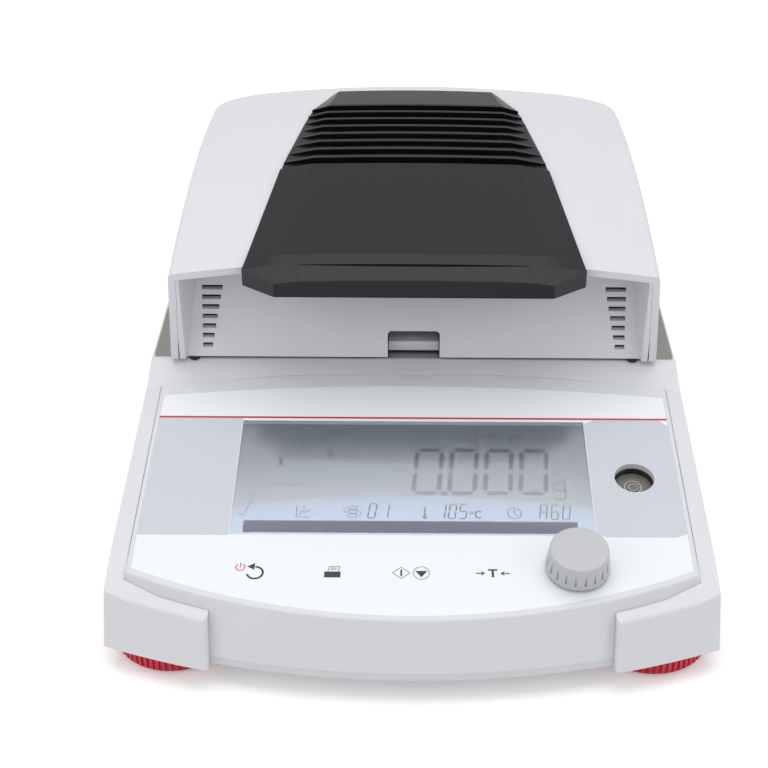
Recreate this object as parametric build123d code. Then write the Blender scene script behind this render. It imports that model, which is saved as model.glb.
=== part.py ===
"""Halogen moisture analyzer: a balance base under a hinged heating lid.

The part stands on the plane Z = 0. +Z is up, the operator stands at -Y and X runs to the
operator's right. The origin is under the middle of the base. All sizes are in millimetres.
"""
import os
from math import atan, cos, degrees, pi, radians, sin, sqrt, tan

from build123d import *

os.makedirs("parts", exist_ok=True)

# Base housing
base_half_width = 106.5  # at the underside
front_reach = 160.0  # fascia's foot in front of the origin
foot_gap = 9.0  # floor to the underside
side_draft = 2.9  # degrees, every side wall leans in by this much
wall = 2.5
flange_height = 4.0  # thick lower rim of the side walls, where the tray closes the base
seat_gap = 0.2  # between mouldings that are assembled into one another

# Front of the base
fascia_radius = 300.0
fascia_lean = 15.5  # degrees
fascia_top_radius = 227.0
block_radius = 293.0
block_lean = 17.5  # degrees
block_proud = 4.4  # corner blocks stand this far in front of the fascia line, measured at the centre
block_width = 37.5
block_drop = 4.3  # top of a block below the control panel's plane
block_edge_radius = 1.6
form_top_z = 56.0

# Control panel
panel_slope = 8.4  # degrees, lower at the front
panel_height_at_centre = 53.3  # height of the panel's plane above the floor at Y = 0
panel_margin = 7.7  # panel's side in from the base's
panel_setback = 5.6  # panel's front edge behind the fascia's foot
panel_side_rear_y = -38.9
panel_rear_bow = 7.3
shoulder_drop = 0.9  # the side shoulders lie this far under the panel
shoulder_turn_back = 40.0  # behind the fascia's foot
shoulder_end_back = 19.5
bezel_wall = 2.5
bezel_edge_radius = 0.9
overlay_margin = 1.8  # overlay's edge in from the panel's side
overlay_setback = 8.2
overlay_front_radius = 243.4
overlay_rear_margin = 5.7
overlay_rear_bow = 5.8
overlay_thickness = 0.35
overlay_recess = 0.4

# Display, keys, level and knob
display_side_margin = 8.9  # between the display and the level's well
display_front_margin = 16.7  # behind the key row
display_rear_margin = 19.1  # in front of the panel's rear edge
lcd_flange = 3.0
lcd_glass_thickness = 1.6
lcd_body_thickness = 4.0
board_depth = 10.0  # below the panel's face
board_thickness = 1.6
board_side_gap = 0.7  # between the board and the level's cup
board_setback = 19.0
board_rear_margin = 7.1
board_chips = ((-38, -12.7, 14, 14, 1.6), (-8, -4.7, 20, 9, 2), (34, -16.7, 9, 26, 3))  # from the display
key_row_setback = 26.7
key_edge = 13.5  # first key in from the board's edge
key_inner_xs = (-27.4, -3.8, 4.8, 27.6)
key_hole_radius = 3.2
switch_size = 6.0
switch_height = 5.0
switch_tip_radius = 1.75
level_margin = 15.8  # level's centre in from the overlay's edge
level_setback = 0.3  # in front of the display's middle
level_radius = 7.3
level_depth = 9.0
level_wall = 1.6
vial_height = 4.0
vial_ring_outer = 2.6
vial_ring_inner = 2.2
vial_ring_depth = 0.3
knob_edge = 13.2  # knob's centre in from the board's edge
knob_setback = 29.3
knob_base_radius = 11.2
knob_top_radius = 10.1
knob_height = 9.0
knob_gap = 0.9  # under the knob's skirt, more than its press
knob_wall = 1.6
knob_top_fillet = 0.7
knob_skirt_fillet = 0.5
plunger_height = 2.0
knob_grooves = 20
knob_groove_width = 0.7
knob_groove_depth = 0.35
knob_groove_length = 4.4
knob_travel = 0.5
shaft_radius = 3.0
shaft_bore_gap = 0.05
shaft_end_gap = 0.6
encoder_size = 12.5
encoder_height = 6.8
encoder_floor = 1.0
bushing_radius = 4.5

# Deck and weighing chamber
deck_top_z = 51.4
deck_front_y = -24.3
deck_margin = 3.0  # deck's side in from the base's
deck_tail = 6.1  # behind the lid
deck_sheet = 1.0
deck_lip = 1.0  # white edge of the housing in front of the deck
deck_corner_radius = 3.0
chamber_y = 52.0
well_radius = 52.0
well_flange = 5.0
well_depth = 18.0
well_sheet = 0.8
well_bore_radius = 8.0
well_rim = 2.5  # collar around the bore in the well's floor
shield_radius = 51.0
shield_sheet = 1.0
shield_ledge = 3.4
lifter_inner_radius = 45.9
lifter_sheet = 1.5
lifter_arm_width = 14.0
riser_setback = 0.8
grip_front_y = -20.0
grip_width = 20.0
grip_height = 4.4
grip_depth = 9.0
grip_sole = 0.4  # grip below its arm
grip_hold = 4.0  # arm let into the grip
grip_edge_radius = 0.8
pan_radius = 45.0
pan_flange = 2.2
pan_depth = 7.0
pan_sheet = 0.5
pan_clearance = 0.5  # pan flange above the lifter ring
support_radius = 38.0
support_arm_width = 8.0
support_thickness = 2.0
support_hub_radius = 7.0
support_hub_depth = 4.0
stem_radius = 5.0

# Weighing cell
cell_width = 30.0
cell_length = 92.0
cell_height = 15.0
cell_gap = 0.6  # live end above its plate
cell_web = 2.2
cell_step = 1.5  # slot narrower than the holes by this much at top and bottom
cell_hole_radius = 5.0
cell_plate_thickness = 3.5
cell_plate_half_width = 24.0
cell_plate_margin = 6.0
cell_plate_corner = 5.0
cell_foot_length = 24.0

# Lid
lid_front_y = -28.1
lid_tail = 32.9  # behind the reflector's rim
lid_margin = 10.5  # lid's lower edge in from the base's side
lid_taper = 1.2  # narrower at the rear by this much on each side
lid_draft = 2.8  # degrees
lid_gap = 1.5  # lower edge above the deck
lid_wall = 2.8
lid_rear_corner = 22.0
lid_apex_back = 7.9  # behind the middle of the chamber
lid_side_height = 49.6  # top of the side walls above the deck, at the apex
lid_side_radius = 374.0
lid_barrel_arc = 120.0  # degrees of the large arc that are drawn, more than the lid needs
lid_crown = 7.0
lid_edge_radius = 2.0

# Apron that closes the lid's front
apron_sheet = 2.2
apron_margin = 5.7  # apron's front edge in from the lid's side
apron_splay = 5.9
apron_low_depth = 2.0
apron_high_depth = 18.1
apron_high_z = 90.0
apron_slant = 1.1  # the leaning plate is this much thicker along Y than its sheet
slot_rows = 7
slot_low_z = 57.1
slot_pitch = 3.5
slot_height = 1.7
slot_margin = 6.7  # slots' outer ends in from the apron's front edge
slot_short = 4.0
slot_long = 8.2
notch_width = 20.6
notch_height = 9.6
notch_corner = 1.5

# Vent cover
cover_lip_reach = 13.5  # in front of the lid's rim
cover_lip_half_width = 52.5
cover_lip_fold = 44.5
cover_lip_edge_proud = 3.6
cover_corner_reach = 4.6  # widest place, in front of the rim
cover_corner_fold = 48.7
cover_corner_drop = 1.5
cover_corner_edge_drop = 0.5
cover_front_half_width = 65.2
cover_rear_half_width = 45.9
cover_chamfer_length = 24.0
cover_rear_margin = 24.0  # lid's rear edge behind the cover's
cover_end_half_width = 38.5
cover_fold_front = 50.8
cover_fold_mid = 42.0
cover_fold_rear = 38.0
cover_fold_end = 35.0
cover_mid_y = 60.0
cover_edge_proud = 2.0
cover_fold_proud = 4.2
cover_crown = 0.7
cover_lip_drop = 4.5
cover_lip_height = 6.8
cover_rear_fall = 0.8
louver_count = 8
louver_pitch = 7.8
louver_slot = 5.7
louver_start_y = 59.6
louver_tilt = 25.0  # degrees
louver_open_half_width = 36.0
louver_rim = 1.0
recess_half_width = 43.5
recess_length = 8.0
recess_depth = 0.3
recess_setback = 0.6

# Baffle under the lid's vent opening
baffle_height = 47.5  # above the deck
baffle_sheet = 1.0
baffle_margin = 4.0  # wider than the opening on each side

# Heating module in the lid
liner_z = 64.0
liner_sheet = 1.2
liner_rear_margin = 13.4
liner_wall_height = 14.0
liner_ledge = 3.0  # of the liner under the glass
glass_margin = 3.0  # glass's edge in from the reflector's rim
glass_thickness = 3.0
clip_count = 3
clip_width = 8.0
clip_sheet = 0.8
clip_reach = 4.0
clip_turn = 30.0  # degrees from +X to the first clip
reflector_rim_radius = 56.0
reflector_flange = 6.0
reflector_top_radius = 42.0
reflector_height = 19.0
reflector_sheet = 0.8
reflector_bulge = 4.0
lamp_ring_radius = 33.0
lamp_tube_radius = 5.0
lamp_height = 8.5  # tube's axis above the glass
lamp_gap_angle = 24.0  # degrees between the lamp's ends
holder_width = 12.8
holder_length = 16.0
lamp_stub = 4.0
lamp_leg_gap = 0.6
vent_bore_radius = 8.0
holder_height = 7.0
sensor_radius = 1.0
sensor_length = 9.0
sensor_drop = 3.0
sensor_width = 6.0
sensor_clip = 8.0  # length of its clip on the liner
bumper_radius = 2.1
bumper_margin = 9.0  # in from the lid's side
bumper_setback = 3.4
bumper_gap = 0.1

# Lid hinge
hinge_rear_margin = 6.0  # axis in front of the lid's rear edge
hinge_height = 10.0  # axis above the deck
hinge_side_margin = 36.0
knuckle_radius = 5.5
knuckle_width = 5.4
ear_width = 3.0
ear_gap = 0.3
pin_radius = 2.5
pin_running_gap = 0.05
hinge_plate = 2.0
hinge_plate_front = 8.0
relief_height = 4.0  # lid's rear edge above the deck
relief_length = 10.9  # in front of the hinge's axis
notch_gap = 1.5
arm_reach = 24.0
arm_height = 7.0

# Feet
foot_side_margin = 22.5  # feet in from the base's sides
front_foot_setback = 32.4
wheel_radius = 21.6
wheel_low_z = 0.9
wheel_high_z = 7.0
wheel_teeth = 60
wheel_tooth_depth = 0.7
wheel_chamfer = 1.2
wheel_top_chamfer = 0.5
pad_radius = 17.0
pad_height = 2.4
pad_pin_radius = 2.5
pad_pin_height = 2.0
stud_radius = 3.95
stud_high_z = 19.0
nut_radius = 6.0
nut_height = 8.0
thread_gap = 0.05
rear_foot_margin = 28.2
rear_foot_radius = 10.0
rear_foot_edge = 1.0
rear_foot_stem = 4.0
rear_foot_stem_height = 3.0

# Rear connectors and power supply
inlet_side_margin = 44.5
inlet_z = 29.0
inlet_width = 27.0
inlet_height = 31.0
inlet_flange = 4.0
inlet_flange_thickness = 2.0
inlet_depth = 24.0
socket_width = 22.0
socket_height = 14.0
socket_depth = 16.0
socket_drop = 6.0
pin_size = 2.0
pin_spread = 7.0
blade_length = 11.0
fuse_width = 22.0
fuse_height = 7.0
fuse_depth = 18.0
fuse_rise = 10.5
drawer_face = 0.8  # stands this far out of the flange
drawer_catch = 1.0
drawer_catch_width = 8.0
drawer_catch_height = 2.0
drawer_wall = 2.0
drawer_floor = 1.5
serial_x = 10.0
serial_width = 31.0
serial_height = 12.5
usb_x = 52.0
usb_width = 14.0
usb_height = 13.0
port_z = 27.0
port_depth = 12.0
port_cavity = 6.0
port_wall = 1.8
port_lip = 0.6
supply_inner_x = 27.0
supply_side_margin = 17.5
supply_rear_margin = 35.2
supply_length = 74.0
supply_blocks = ((-8, -1, 24, 26, 14), (-22.5, 26, 3, 16, 14))  # X, Y and size
supply_capacitors = ((17, 4, 7, 15), (17, 22, 5, 13))  # X, Y, radius and height
standoff_height = 4.0
standoff_radius = 3.0

# Tray and screws
tray_thickness = 2.5
tray_margin = 8.0
screw_radius = 1.5
screw_head_radius = 3.0
screw_head_height = 1.5
screw_length = 10.0
boss_radius = 4.0
front_screw_x = 40.0
front_screw_setback = 14.0
rear_screw_side_margin = 16.5
rear_screw_margin = 8.2
rear_margin = 9.2  # base behind the deck

# Heights and places that follow from the sizes above
panel_half_width = base_half_width - panel_margin
overlay_half_width = panel_half_width - overlay_margin
deck_half_width = base_half_width - deck_margin
tray_half_width = base_half_width - tray_margin
lid_half_width = base_half_width - lid_margin
block_inner_x = base_half_width - block_width
apron_front_half_width = lid_half_width - apron_margin
apron_back_half_width = apron_front_half_width - apron_splay
slot_outer_x = apron_front_half_width - slot_margin
bumper_x = lid_half_width - bumper_margin
hinge_x = lid_half_width - hinge_side_margin
front_foot_x = base_half_width - foot_side_margin
rear_foot_x = front_foot_x
rear_screw_x = base_half_width - rear_screw_side_margin
inlet_x = inlet_side_margin - base_half_width
supply_width = base_half_width - supply_side_margin - supply_inner_x
supply_x = -supply_inner_x - supply_width / 2
level_x = overlay_half_width - level_margin
display_width = 2 * (level_x - level_radius - display_side_margin)
board_half_width = level_x - level_radius - 2 * level_wall - board_side_gap
knob_x = board_half_width - knob_edge
key_xs = (key_edge - board_half_width, *key_inner_xs)

base_front_y = -front_reach
panel_front_y = base_front_y + panel_setback
overlay_front_y = base_front_y + overlay_setback
shoulder_end_y = base_front_y + shoulder_end_back
shoulder_turn_y = base_front_y + shoulder_turn_back
front_screw_y = base_front_y + front_screw_setback
board_front_y = base_front_y + board_setback
key_row_y = base_front_y + key_row_setback
knob_y = base_front_y + knob_setback
front_foot_y = base_front_y + front_foot_setback
overlay_side_rear_y = panel_side_rear_y - overlay_rear_margin
board_rear_y = panel_side_rear_y - board_rear_margin
display_front_y = key_row_y + display_front_margin
display_rear_y = panel_side_rear_y - display_rear_margin
display_height = display_rear_y - display_front_y
display_y = (display_front_y + display_rear_y) / 2
level_y = display_y - level_setback

lid_rear_y = chamber_y + reflector_rim_radius + lid_tail
lid_depth = lid_rear_y - lid_front_y
lid_apex_y = chamber_y + lid_apex_back
liner_rear_y = lid_rear_y - liner_rear_margin
hinge_y = lid_rear_y - hinge_rear_margin
relief_front_y = hinge_y - relief_length
cover_rear_y = lid_depth - cover_rear_margin
cover_chamfer_y = cover_rear_y - cover_chamfer_length
deck_rear_y = lid_rear_y + deck_tail
base_rear_y = deck_rear_y + rear_margin
rear_foot_y = base_rear_y - rear_foot_margin
rear_screw_y = base_rear_y - rear_screw_margin
supply_y = base_rear_y - supply_rear_margin - supply_length / 2
base_depth = base_rear_y - base_front_y

glass_radius = reflector_rim_radius - glass_margin
liner_bore_radius = glass_radius - liner_ledge
tray_top_z = foot_gap + tray_thickness
lid_low_z = deck_top_z + lid_gap
hinge_z = deck_top_z + hinge_height
lamp_leg_y = lamp_ring_radius * cos(radians(lamp_gap_angle / 2))
lid_top_z_limit = deck_top_z + lid_side_height + 2 * lid_crown
liner_top_z = liner_z + liner_sheet
glass_top_z = liner_top_z + glass_thickness
well_floor_z = deck_top_z - well_depth
ledge_z = deck_top_z - 1.4
lifter_top_z = ledge_z + lifter_sheet
pan_rim_z = lifter_top_z + pan_clearance
pan_floor_z = pan_rim_z - pan_depth
support_top_z = pan_floor_z
cell_low_z = tray_top_z + cell_plate_thickness + cell_gap
cell_top_z = cell_low_z + cell_height
slope = radians(panel_slope)
grow = 0.01  # cutting tools pass through a face by this much


def box_between(low, high):
    """A block between two opposite corners."""
    size = [b - a for a, b in zip(low, high)]
    centre = [(a + b) / 2 for a, b in zip(low, high)]
    return Pos(*centre) * Box(*size)


def post(x, y, low_z, high_z, radius):
    """An upright round bar."""
    upright = (Align.CENTER, Align.CENTER, Align.MIN)
    return Pos(x, y, low_z) * Cylinder(radius, high_z - low_z, align=upright)


def tube(x, y, low_z, high_z, outer, inner):
    """An upright round tube."""
    bore = post(x, y, low_z - grow, high_z + grow, inner)
    return post(x, y, low_z, high_z, outer) - bore


def both_sides(shape):
    """The shape and its mirror image across the middle plane."""
    return shape + mirror(shape, about=Plane.YZ)


def bar_along_x(x_low, x_high, y, z, radius):
    """A round bar that lies along X."""
    start = Plane(origin=(x_low, y, z), z_dir=(1, 0, 0))
    return extrude(start * Circle(radius), amount=x_high - x_low)


def save(name, shape):
    export_step(shape, f"parts/{name}.step")


def panel_z(y):
    """Height of the control panel's plane."""
    return panel_height_at_centre + y * tan(slope)


def on_panel(x, y, lift=0.0):
    """A place on the control panel, with Z square to its face."""
    face = Plane(origin=(x, y, panel_z(y)), x_dir=(1, 0, 0), z_dir=(0, -sin(slope), cos(slope)))
    return face.location * Pos(0, 0, lift)


def under_panel(drop):
    """Everything that lies deeper than drop under the panel's face."""
    slab = Box(3 * base_depth, 3 * base_depth, base_depth, align=(Align.CENTER, Align.CENTER, Align.MAX))
    return on_panel(0, 0, -drop) * slab


def bowed_face(z, half_width, front_y, front_radius, rear_y, rear_bow=0.0):
    """A plan outline with a bowed front, straight sides and a straight or bowed rear."""
    corner_y = front_y + front_radius - sqrt(front_radius**2 - half_width**2)
    front = ThreePointArc((-half_width, corner_y, z), (0, front_y, z), (half_width, corner_y, z))
    right = Line((half_width, corner_y, z), (half_width, rear_y, z))
    left = Line((-half_width, rear_y, z), (-half_width, corner_y, z))
    if rear_bow:
        middle = (0, rear_y + rear_bow, z)
        rear = ThreePointArc((half_width, rear_y, z), middle, (-half_width, rear_y, z))
    else:
        rear = Line((half_width, rear_y, z), (-half_width, rear_y, z))
    return make_face([front, right, rear, left])


def side_profile(points, half_width):
    """A solid with one outline in side view, given as (Y, Z) points or edges."""
    outline = Plane.YZ * make_face(points)
    return extrude(outline, amount=half_width, both=True)


def base_envelope(inset=0.0):
    """The tapered block that the base is cut from, drawn in by inset at the sides and rear."""
    rise = form_top_z - foot_gap
    low_half = base_half_width - inset
    high_half = low_half - rise * tan(radians(side_draft))
    front_y = base_front_y - block_proud + inset
    rear_y = base_rear_y - inset
    low = bowed_face(foot_gap, low_half, front_y, block_radius, rear_y)
    lean = rise * tan(radians(block_lean))
    high = bowed_face(form_top_z, high_half, front_y + lean, block_radius, rear_y)
    return loft([low, high], ruled=True)


def base_skyline(drop=0.0):
    """Side view of the base: deck, shelf, shoulders and the tops of the corner blocks."""
    far = base_depth
    shelf_y = deck_front_y - deck_lip
    shoulder_y = panel_side_rear_y
    turn = (shoulder_turn_y, panel_z(shoulder_turn_y) - shoulder_drop - drop)
    end = (shoulder_end_y, panel_z(shoulder_end_y) - block_drop - drop)
    fall = Line(
        (shelf_y, deck_top_z - drop),
        (shoulder_y, panel_z(shoulder_y) - shoulder_drop - drop),
    )
    shoulder = Line(fall @ 1, turn)
    roll = TangentArc(turn, end, tangent=shoulder % 1)
    block = Line(end, (-far, panel_z(-far) - block_drop - drop))
    closing = Polyline(block @ 1, (-far, 0), (far, 0), (far, deck_top_z - drop), fall @ 0)
    return side_profile([fall, shoulder, roll, block, *closing.edges()], base_half_width + wall)


def panel_envelope(gap=0.0, inset=0.0):
    """The panel bezel's outer block: a bowed fascia that leans back under a sloping top."""
    half = panel_half_width + gap - inset
    front_y = base_front_y - gap + inset
    rear_y = panel_side_rear_y + gap - inset
    low_z = foot_gap - grow
    lean = (form_top_z - low_z) * tan(radians(fascia_lean))
    low = bowed_face(low_z, half, front_y, fascia_radius, rear_y, panel_rear_bow)
    high = bowed_face(form_top_z, half, front_y + lean, fascia_top_radius, rear_y, panel_rear_bow)
    return loft([low, high], ruled=True)


def make_base_housing():
    """White upper moulding: sides, shoulders, corner blocks and the frame under the deck."""
    body = base_envelope() & base_skyline()
    front = (-block_inner_x, base_front_y - 4 * block_proud, 0)
    body -= box_between(front, (block_inner_x, shoulder_end_y, form_top_z))
    body -= panel_envelope(seat_gap)
    rim = [e for e in body.edges() if e.center().Y < shoulder_end_y - 1 and is_block_edge(e)]
    body = fillet(rim, block_edge_radius)
    # inside of the shell, above the thick lower rim and behind the panel
    hollow = base_envelope(wall) & base_skyline(wall + deck_sheet)
    shelf_inner_y = panel_side_rear_y + panel_rear_bow + wall
    rim_z = foot_gap + flange_height
    reach = (base_half_width, base_rear_y, form_top_z)
    body -= hollow & box_between((-base_half_width, shelf_inner_y, rim_z), reach)
    mouth_half = tray_half_width + seat_gap
    mouth_rear = base_rear_y - wall
    body -= box_between((-mouth_half, shelf_inner_y, 0), (mouth_half, mouth_rear, rim_z + grow))
    body -= box_between((-mouth_half, shoulder_turn_y, 0), (mouth_half, mouth_rear, tray_top_z + seat_gap))
    # seat of the deck sheet and the bore of the weighing chamber
    seat = (-base_half_width, deck_front_y, deck_top_z - deck_sheet)
    body -= box_between(seat, (base_half_width, deck_rear_y, form_top_z))
    body -= post(0, chamber_y, 0, form_top_z, well_radius + wall)
    ceiling_z = deck_top_z - wall - deck_sheet
    for x in (-rear_screw_x, rear_screw_x):
        body += post(x, rear_screw_y, tray_top_z, ceiling_z, boss_radius)
        body -= post(x, rear_screw_y, tray_top_z - grow, tray_top_z + screw_length, screw_radius)
    for x, z, width, height in rear_cutouts():
        half = width / 2 + seat_gap
        rise = height / 2 + seat_gap
        low = (x - half, base_rear_y - 2 * wall, z - rise)
        body -= box_between(low, (x + half, base_rear_y + wall, z + rise))
    return body


def is_block_edge(edge):
    """Edges around the front face of a corner block, apart from its underside."""
    middle = edge.center()
    return middle.Z > foot_gap + 1 and abs(middle.X) < base_half_width + 1 and on_block_front(edge)


def on_block_front(edge):
    """True for an edge whose ends both lie on the leaning front face of the blocks."""
    for spot in (edge @ 0, edge @ 0.5, edge @ 1):
        front = base_front_y - block_proud + (spot.Z - foot_gap) * tan(radians(block_lean))
        bow = block_radius - sqrt(block_radius**2 - spot.X**2)
        if abs(spot.Y - front - bow) > 0.05:
            return False
    return True


def rear_cutouts():
    """Centre, width and height of each hole in the rear wall."""
    yield inlet_x, inlet_z, inlet_width, inlet_height
    yield serial_x, port_z, serial_width, serial_height
    yield usb_x, port_z, usb_width, usb_height


def make_bottom_tray():
    """Lower moulding: floor plate, bosses for the feet and posts for the boards."""
    far = base_depth
    rear_y = base_rear_y - wall - seat_gap
    body = panel_envelope() & box_between((-far, -far, foot_gap), (far, far, tray_top_z))
    joint_y = panel_side_rear_y - wall
    rear_part = (-tray_half_width, joint_y, foot_gap)
    body += box_between(rear_part, (tray_half_width, rear_y, tray_top_z))
    for x in (-front_foot_x, front_foot_x):
        body += post(x, front_foot_y, tray_top_z, tray_top_z + nut_height, nut_radius + wall)
        body -= post(x, front_foot_y, 0, tray_top_z + nut_height + grow, stud_radius + thread_gap)
        body -= post(x, front_foot_y, tray_top_z, tray_top_z + nut_height + grow, nut_radius)
    for x in (-rear_foot_x, rear_foot_x):
        body -= post(x, rear_foot_y, 0, tray_top_z + grow, rear_foot_stem)
    for x, y in tray_screw_places():
        body -= post(x, y, 0, tray_top_z + grow, screw_radius)
        body -= post(x, y, 0, foot_gap + screw_head_height, screw_head_radius)
    for x, y in supply_standoffs():
        body += post(x, y, tray_top_z, tray_top_z + standoff_height, standoff_radius)
    return body


def tray_screw_places():
    for side in (-1, 1):
        yield side * front_screw_x, front_screw_y
        yield side * rear_screw_x, rear_screw_y


def supply_standoffs():
    for x in (-1, 1):
        for y in (-1, 1):
            reach_x = supply_width / 2 - standoff_radius
            reach_y = supply_length / 2 - standoff_radius
            yield supply_x + x * reach_x, supply_y + y * reach_y


def make_tray_screws():
    """Four pan-head screws that hold the tray to the upper mouldings."""
    screws = Part()
    for x, y in tray_screw_places():
        screws += post(x, y, foot_gap + grow, foot_gap + screw_head_height, screw_head_radius)
        screws += post(x, y, foot_gap + screw_head_height, tray_top_z + screw_length - grow, screw_radius)
    return screws


def overlay_outline(inset=0.0):
    """Plan outline of the printed overlay, drawn on the panel's face."""
    half = overlay_half_width - inset
    front = overlay_front_y + inset
    rear = overlay_side_rear_y - inset
    return bowed_face(0, half, front, overlay_front_radius, rear, overlay_rear_bow)


def overlay_block(inset=0.0):
    """The overlay's outline taken straight up through the whole base."""
    return extrude(overlay_outline(inset), amount=form_top_z)


def panel_window(width, height, low, high, gap=0.0):
    """A rectangular block at the display, between two lifts over the panel's face."""
    block = Box(width + 2 * gap, height + 2 * gap, high - low)
    return on_panel(0, display_y, (low + high) / 2) * block


def panel_pin(x, y, low, high, radius):
    """A round bar square to the panel, between two lifts over its face."""
    upright = (Align.CENTER, Align.CENTER, Align.MIN)
    return on_panel(x, y, low) * Cylinder(radius, high - low, align=upright)


def make_panel_bezel():
    """White front moulding: the sloping panel frame and the curved fascia below it."""
    body = panel_envelope() & under_panel(0)
    body -= panel_envelope(inset=bezel_wall) & under_panel(bezel_wall)
    body -= box_between((-base_half_width, -base_depth, 0), (base_half_width, 0, tray_top_z))
    body -= overlay_block(-seat_gap / 4) - under_panel(overlay_recess)
    top = [e for e in body.edges() if e.center().Z > panel_z(panel_front_y) - 2 and on_panel_rim(e)]
    body = fillet(top, bezel_edge_radius)
    body -= panel_window(display_width, display_height, -2 * bezel_wall, bezel_wall)
    body -= panel_pin(level_x, level_y, -2 * bezel_wall, bezel_wall, level_radius)
    body -= panel_pin(knob_x, knob_y, -2 * bezel_wall, bezel_wall, bushing_radius)
    for x in key_xs:
        body -= panel_pin(x, key_row_y, -2 * bezel_wall, bezel_wall, key_hole_radius)
    for x, y in board_corners():
        body += panel_pin(x, y, -board_depth, -bezel_wall, standoff_radius)
    for x in (-front_screw_x, front_screw_x):
        boss = post(x, front_screw_y, tray_top_z, form_top_z, boss_radius)
        body += boss & under_panel(bezel_wall)
        body -= post(x, front_screw_y, 0, tray_top_z + screw_length, screw_radius)
    return body


def on_panel_rim(edge):
    """Edges where the panel's face meets its front and side walls."""
    ends = (edge @ 0, edge @ 0.5, edge @ 1)
    if any(abs(spot.Z - panel_z(spot.Y)) > 0.02 for spot in ends):
        return False
    middle = edge @ 0.5
    at_side = abs(abs(middle.X) - panel_half_width) < 0.02
    return at_side or middle.Y < overlay_front_y - 1


def board_corners():
    """Where the main board is screwed under the panel."""
    for x in (-1, 1):
        for y in (board_front_y + 2 * standoff_radius, board_rear_y - standoff_radius - 1):
            yield x * (board_half_width - standoff_radius), y


def make_panel_overlay():
    """Printed membrane with a window for the display and holes for the level and the knob."""
    body = overlay_block() & under_panel(overlay_recess - overlay_thickness)
    body -= under_panel(overlay_recess)
    body -= panel_window(display_width, display_height, -1, 1, -seat_gap)
    body -= panel_pin(level_x, level_y, -1, 1, level_radius)
    body -= panel_pin(knob_x, knob_y, -1, 1, bushing_radius)
    return body


def make_display_window():
    """Clear part of the membrane, let into the overlay flush with its face."""
    low = -overlay_recess
    return panel_window(display_width, display_height, low, low + overlay_thickness, -1.5 * seat_gap)


def make_lcd_module():
    """Display: a glass that rises into the panel's opening and a framed body behind it."""
    glass_high = -overlay_recess - seat_gap
    body_high = -bezel_wall - seat_gap / 2
    glass = panel_window(display_width, display_height, body_high, glass_high, -seat_gap)
    high = body_high
    body = panel_window(display_width, display_height, high - lcd_body_thickness, high, lcd_flange)
    return glass + body


def make_main_board():
    """Circuit board screwed under the panel, carrying the display, keys and encoder."""
    middle = (board_front_y + board_rear_y) / 2
    length = (board_rear_y - board_front_y) / cos(slope)
    centre = on_panel(0, middle, -board_depth - board_thickness / 2)
    board = centre * Box(2 * board_half_width, length, board_thickness)
    chips = Part()
    for x, back, width, depth, height in board_chips:
        place = on_panel(x, display_y + back, -board_depth - board_thickness - height / 2)
        chips += place * Box(width, depth, height)
    return board + chips


def make_key_switches():
    """Five push switches on the board, their tips just under the membrane."""
    upright = (Align.CENTER, Align.CENTER, Align.MIN)
    switches = Part()
    for x in key_xs:
        body = Box(switch_size, switch_size, switch_height, align=upright)
        switches += on_panel(x, key_row_y, -board_depth) * body
        low = -board_depth + switch_height
        switches += panel_pin(x, key_row_y, low, -overlay_recess - seat_gap, switch_tip_radius)
    return switches


def make_level_cup():
    """Dark cup under the panel that holds the bubble level at the bottom of its well."""
    outer = level_radius + level_wall
    low = -level_depth - level_wall
    body = panel_pin(level_x, level_y, low, -bezel_wall, outer)
    body += panel_pin(level_x, level_y, -bezel_wall - level_wall, -bezel_wall, outer + level_wall)
    body -= panel_pin(level_x, level_y, -level_depth, bezel_wall, level_radius)
    return body


def make_level_vial():
    """Round bubble level: a clear domed disc with a ring mark turned into its top."""
    high = -level_depth + vial_height
    body = panel_pin(level_x, level_y, -level_depth, high, level_radius - seat_gap)
    ring = panel_pin(level_x, level_y, high - vial_ring_depth, high + grow, vial_ring_outer)
    ring -= panel_pin(level_x, level_y, -level_depth, high + 2 * grow, vial_ring_inner)
    return body - ring


def make_encoder_body():
    """Rotary encoder on the board, with the bushing that guides the knob's shaft."""
    upright = (Align.CENTER, Align.CENTER, Align.MIN)
    high = -board_depth + encoder_height
    block = Box(encoder_size, encoder_size, encoder_height, align=upright)
    body = on_panel(knob_x, knob_y, -board_depth) * block
    body += panel_pin(knob_x, knob_y, high, -overlay_recess / 2, bushing_radius - seat_gap)
    floor = -board_depth + encoder_floor
    body -= panel_pin(knob_x, knob_y, floor, grow, shaft_radius + shaft_bore_gap)
    return body


def make_encoder_plunger():
    """Plunger of the push switch at the bottom of the encoder's bore."""
    low = -board_depth + encoder_floor + knob_travel + seat_gap
    return panel_pin(knob_x, knob_y, low, low + plunger_height, shaft_radius)


def make_encoder_shaft():
    """Steel shaft that turns in the bushing and carries the knob."""
    low = -board_depth + encoder_floor + knob_travel + seat_gap + plunger_height
    high = knob_gap + knob_height - knob_wall - shaft_end_gap
    return panel_pin(knob_x, knob_y, low, high, shaft_radius)


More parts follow.
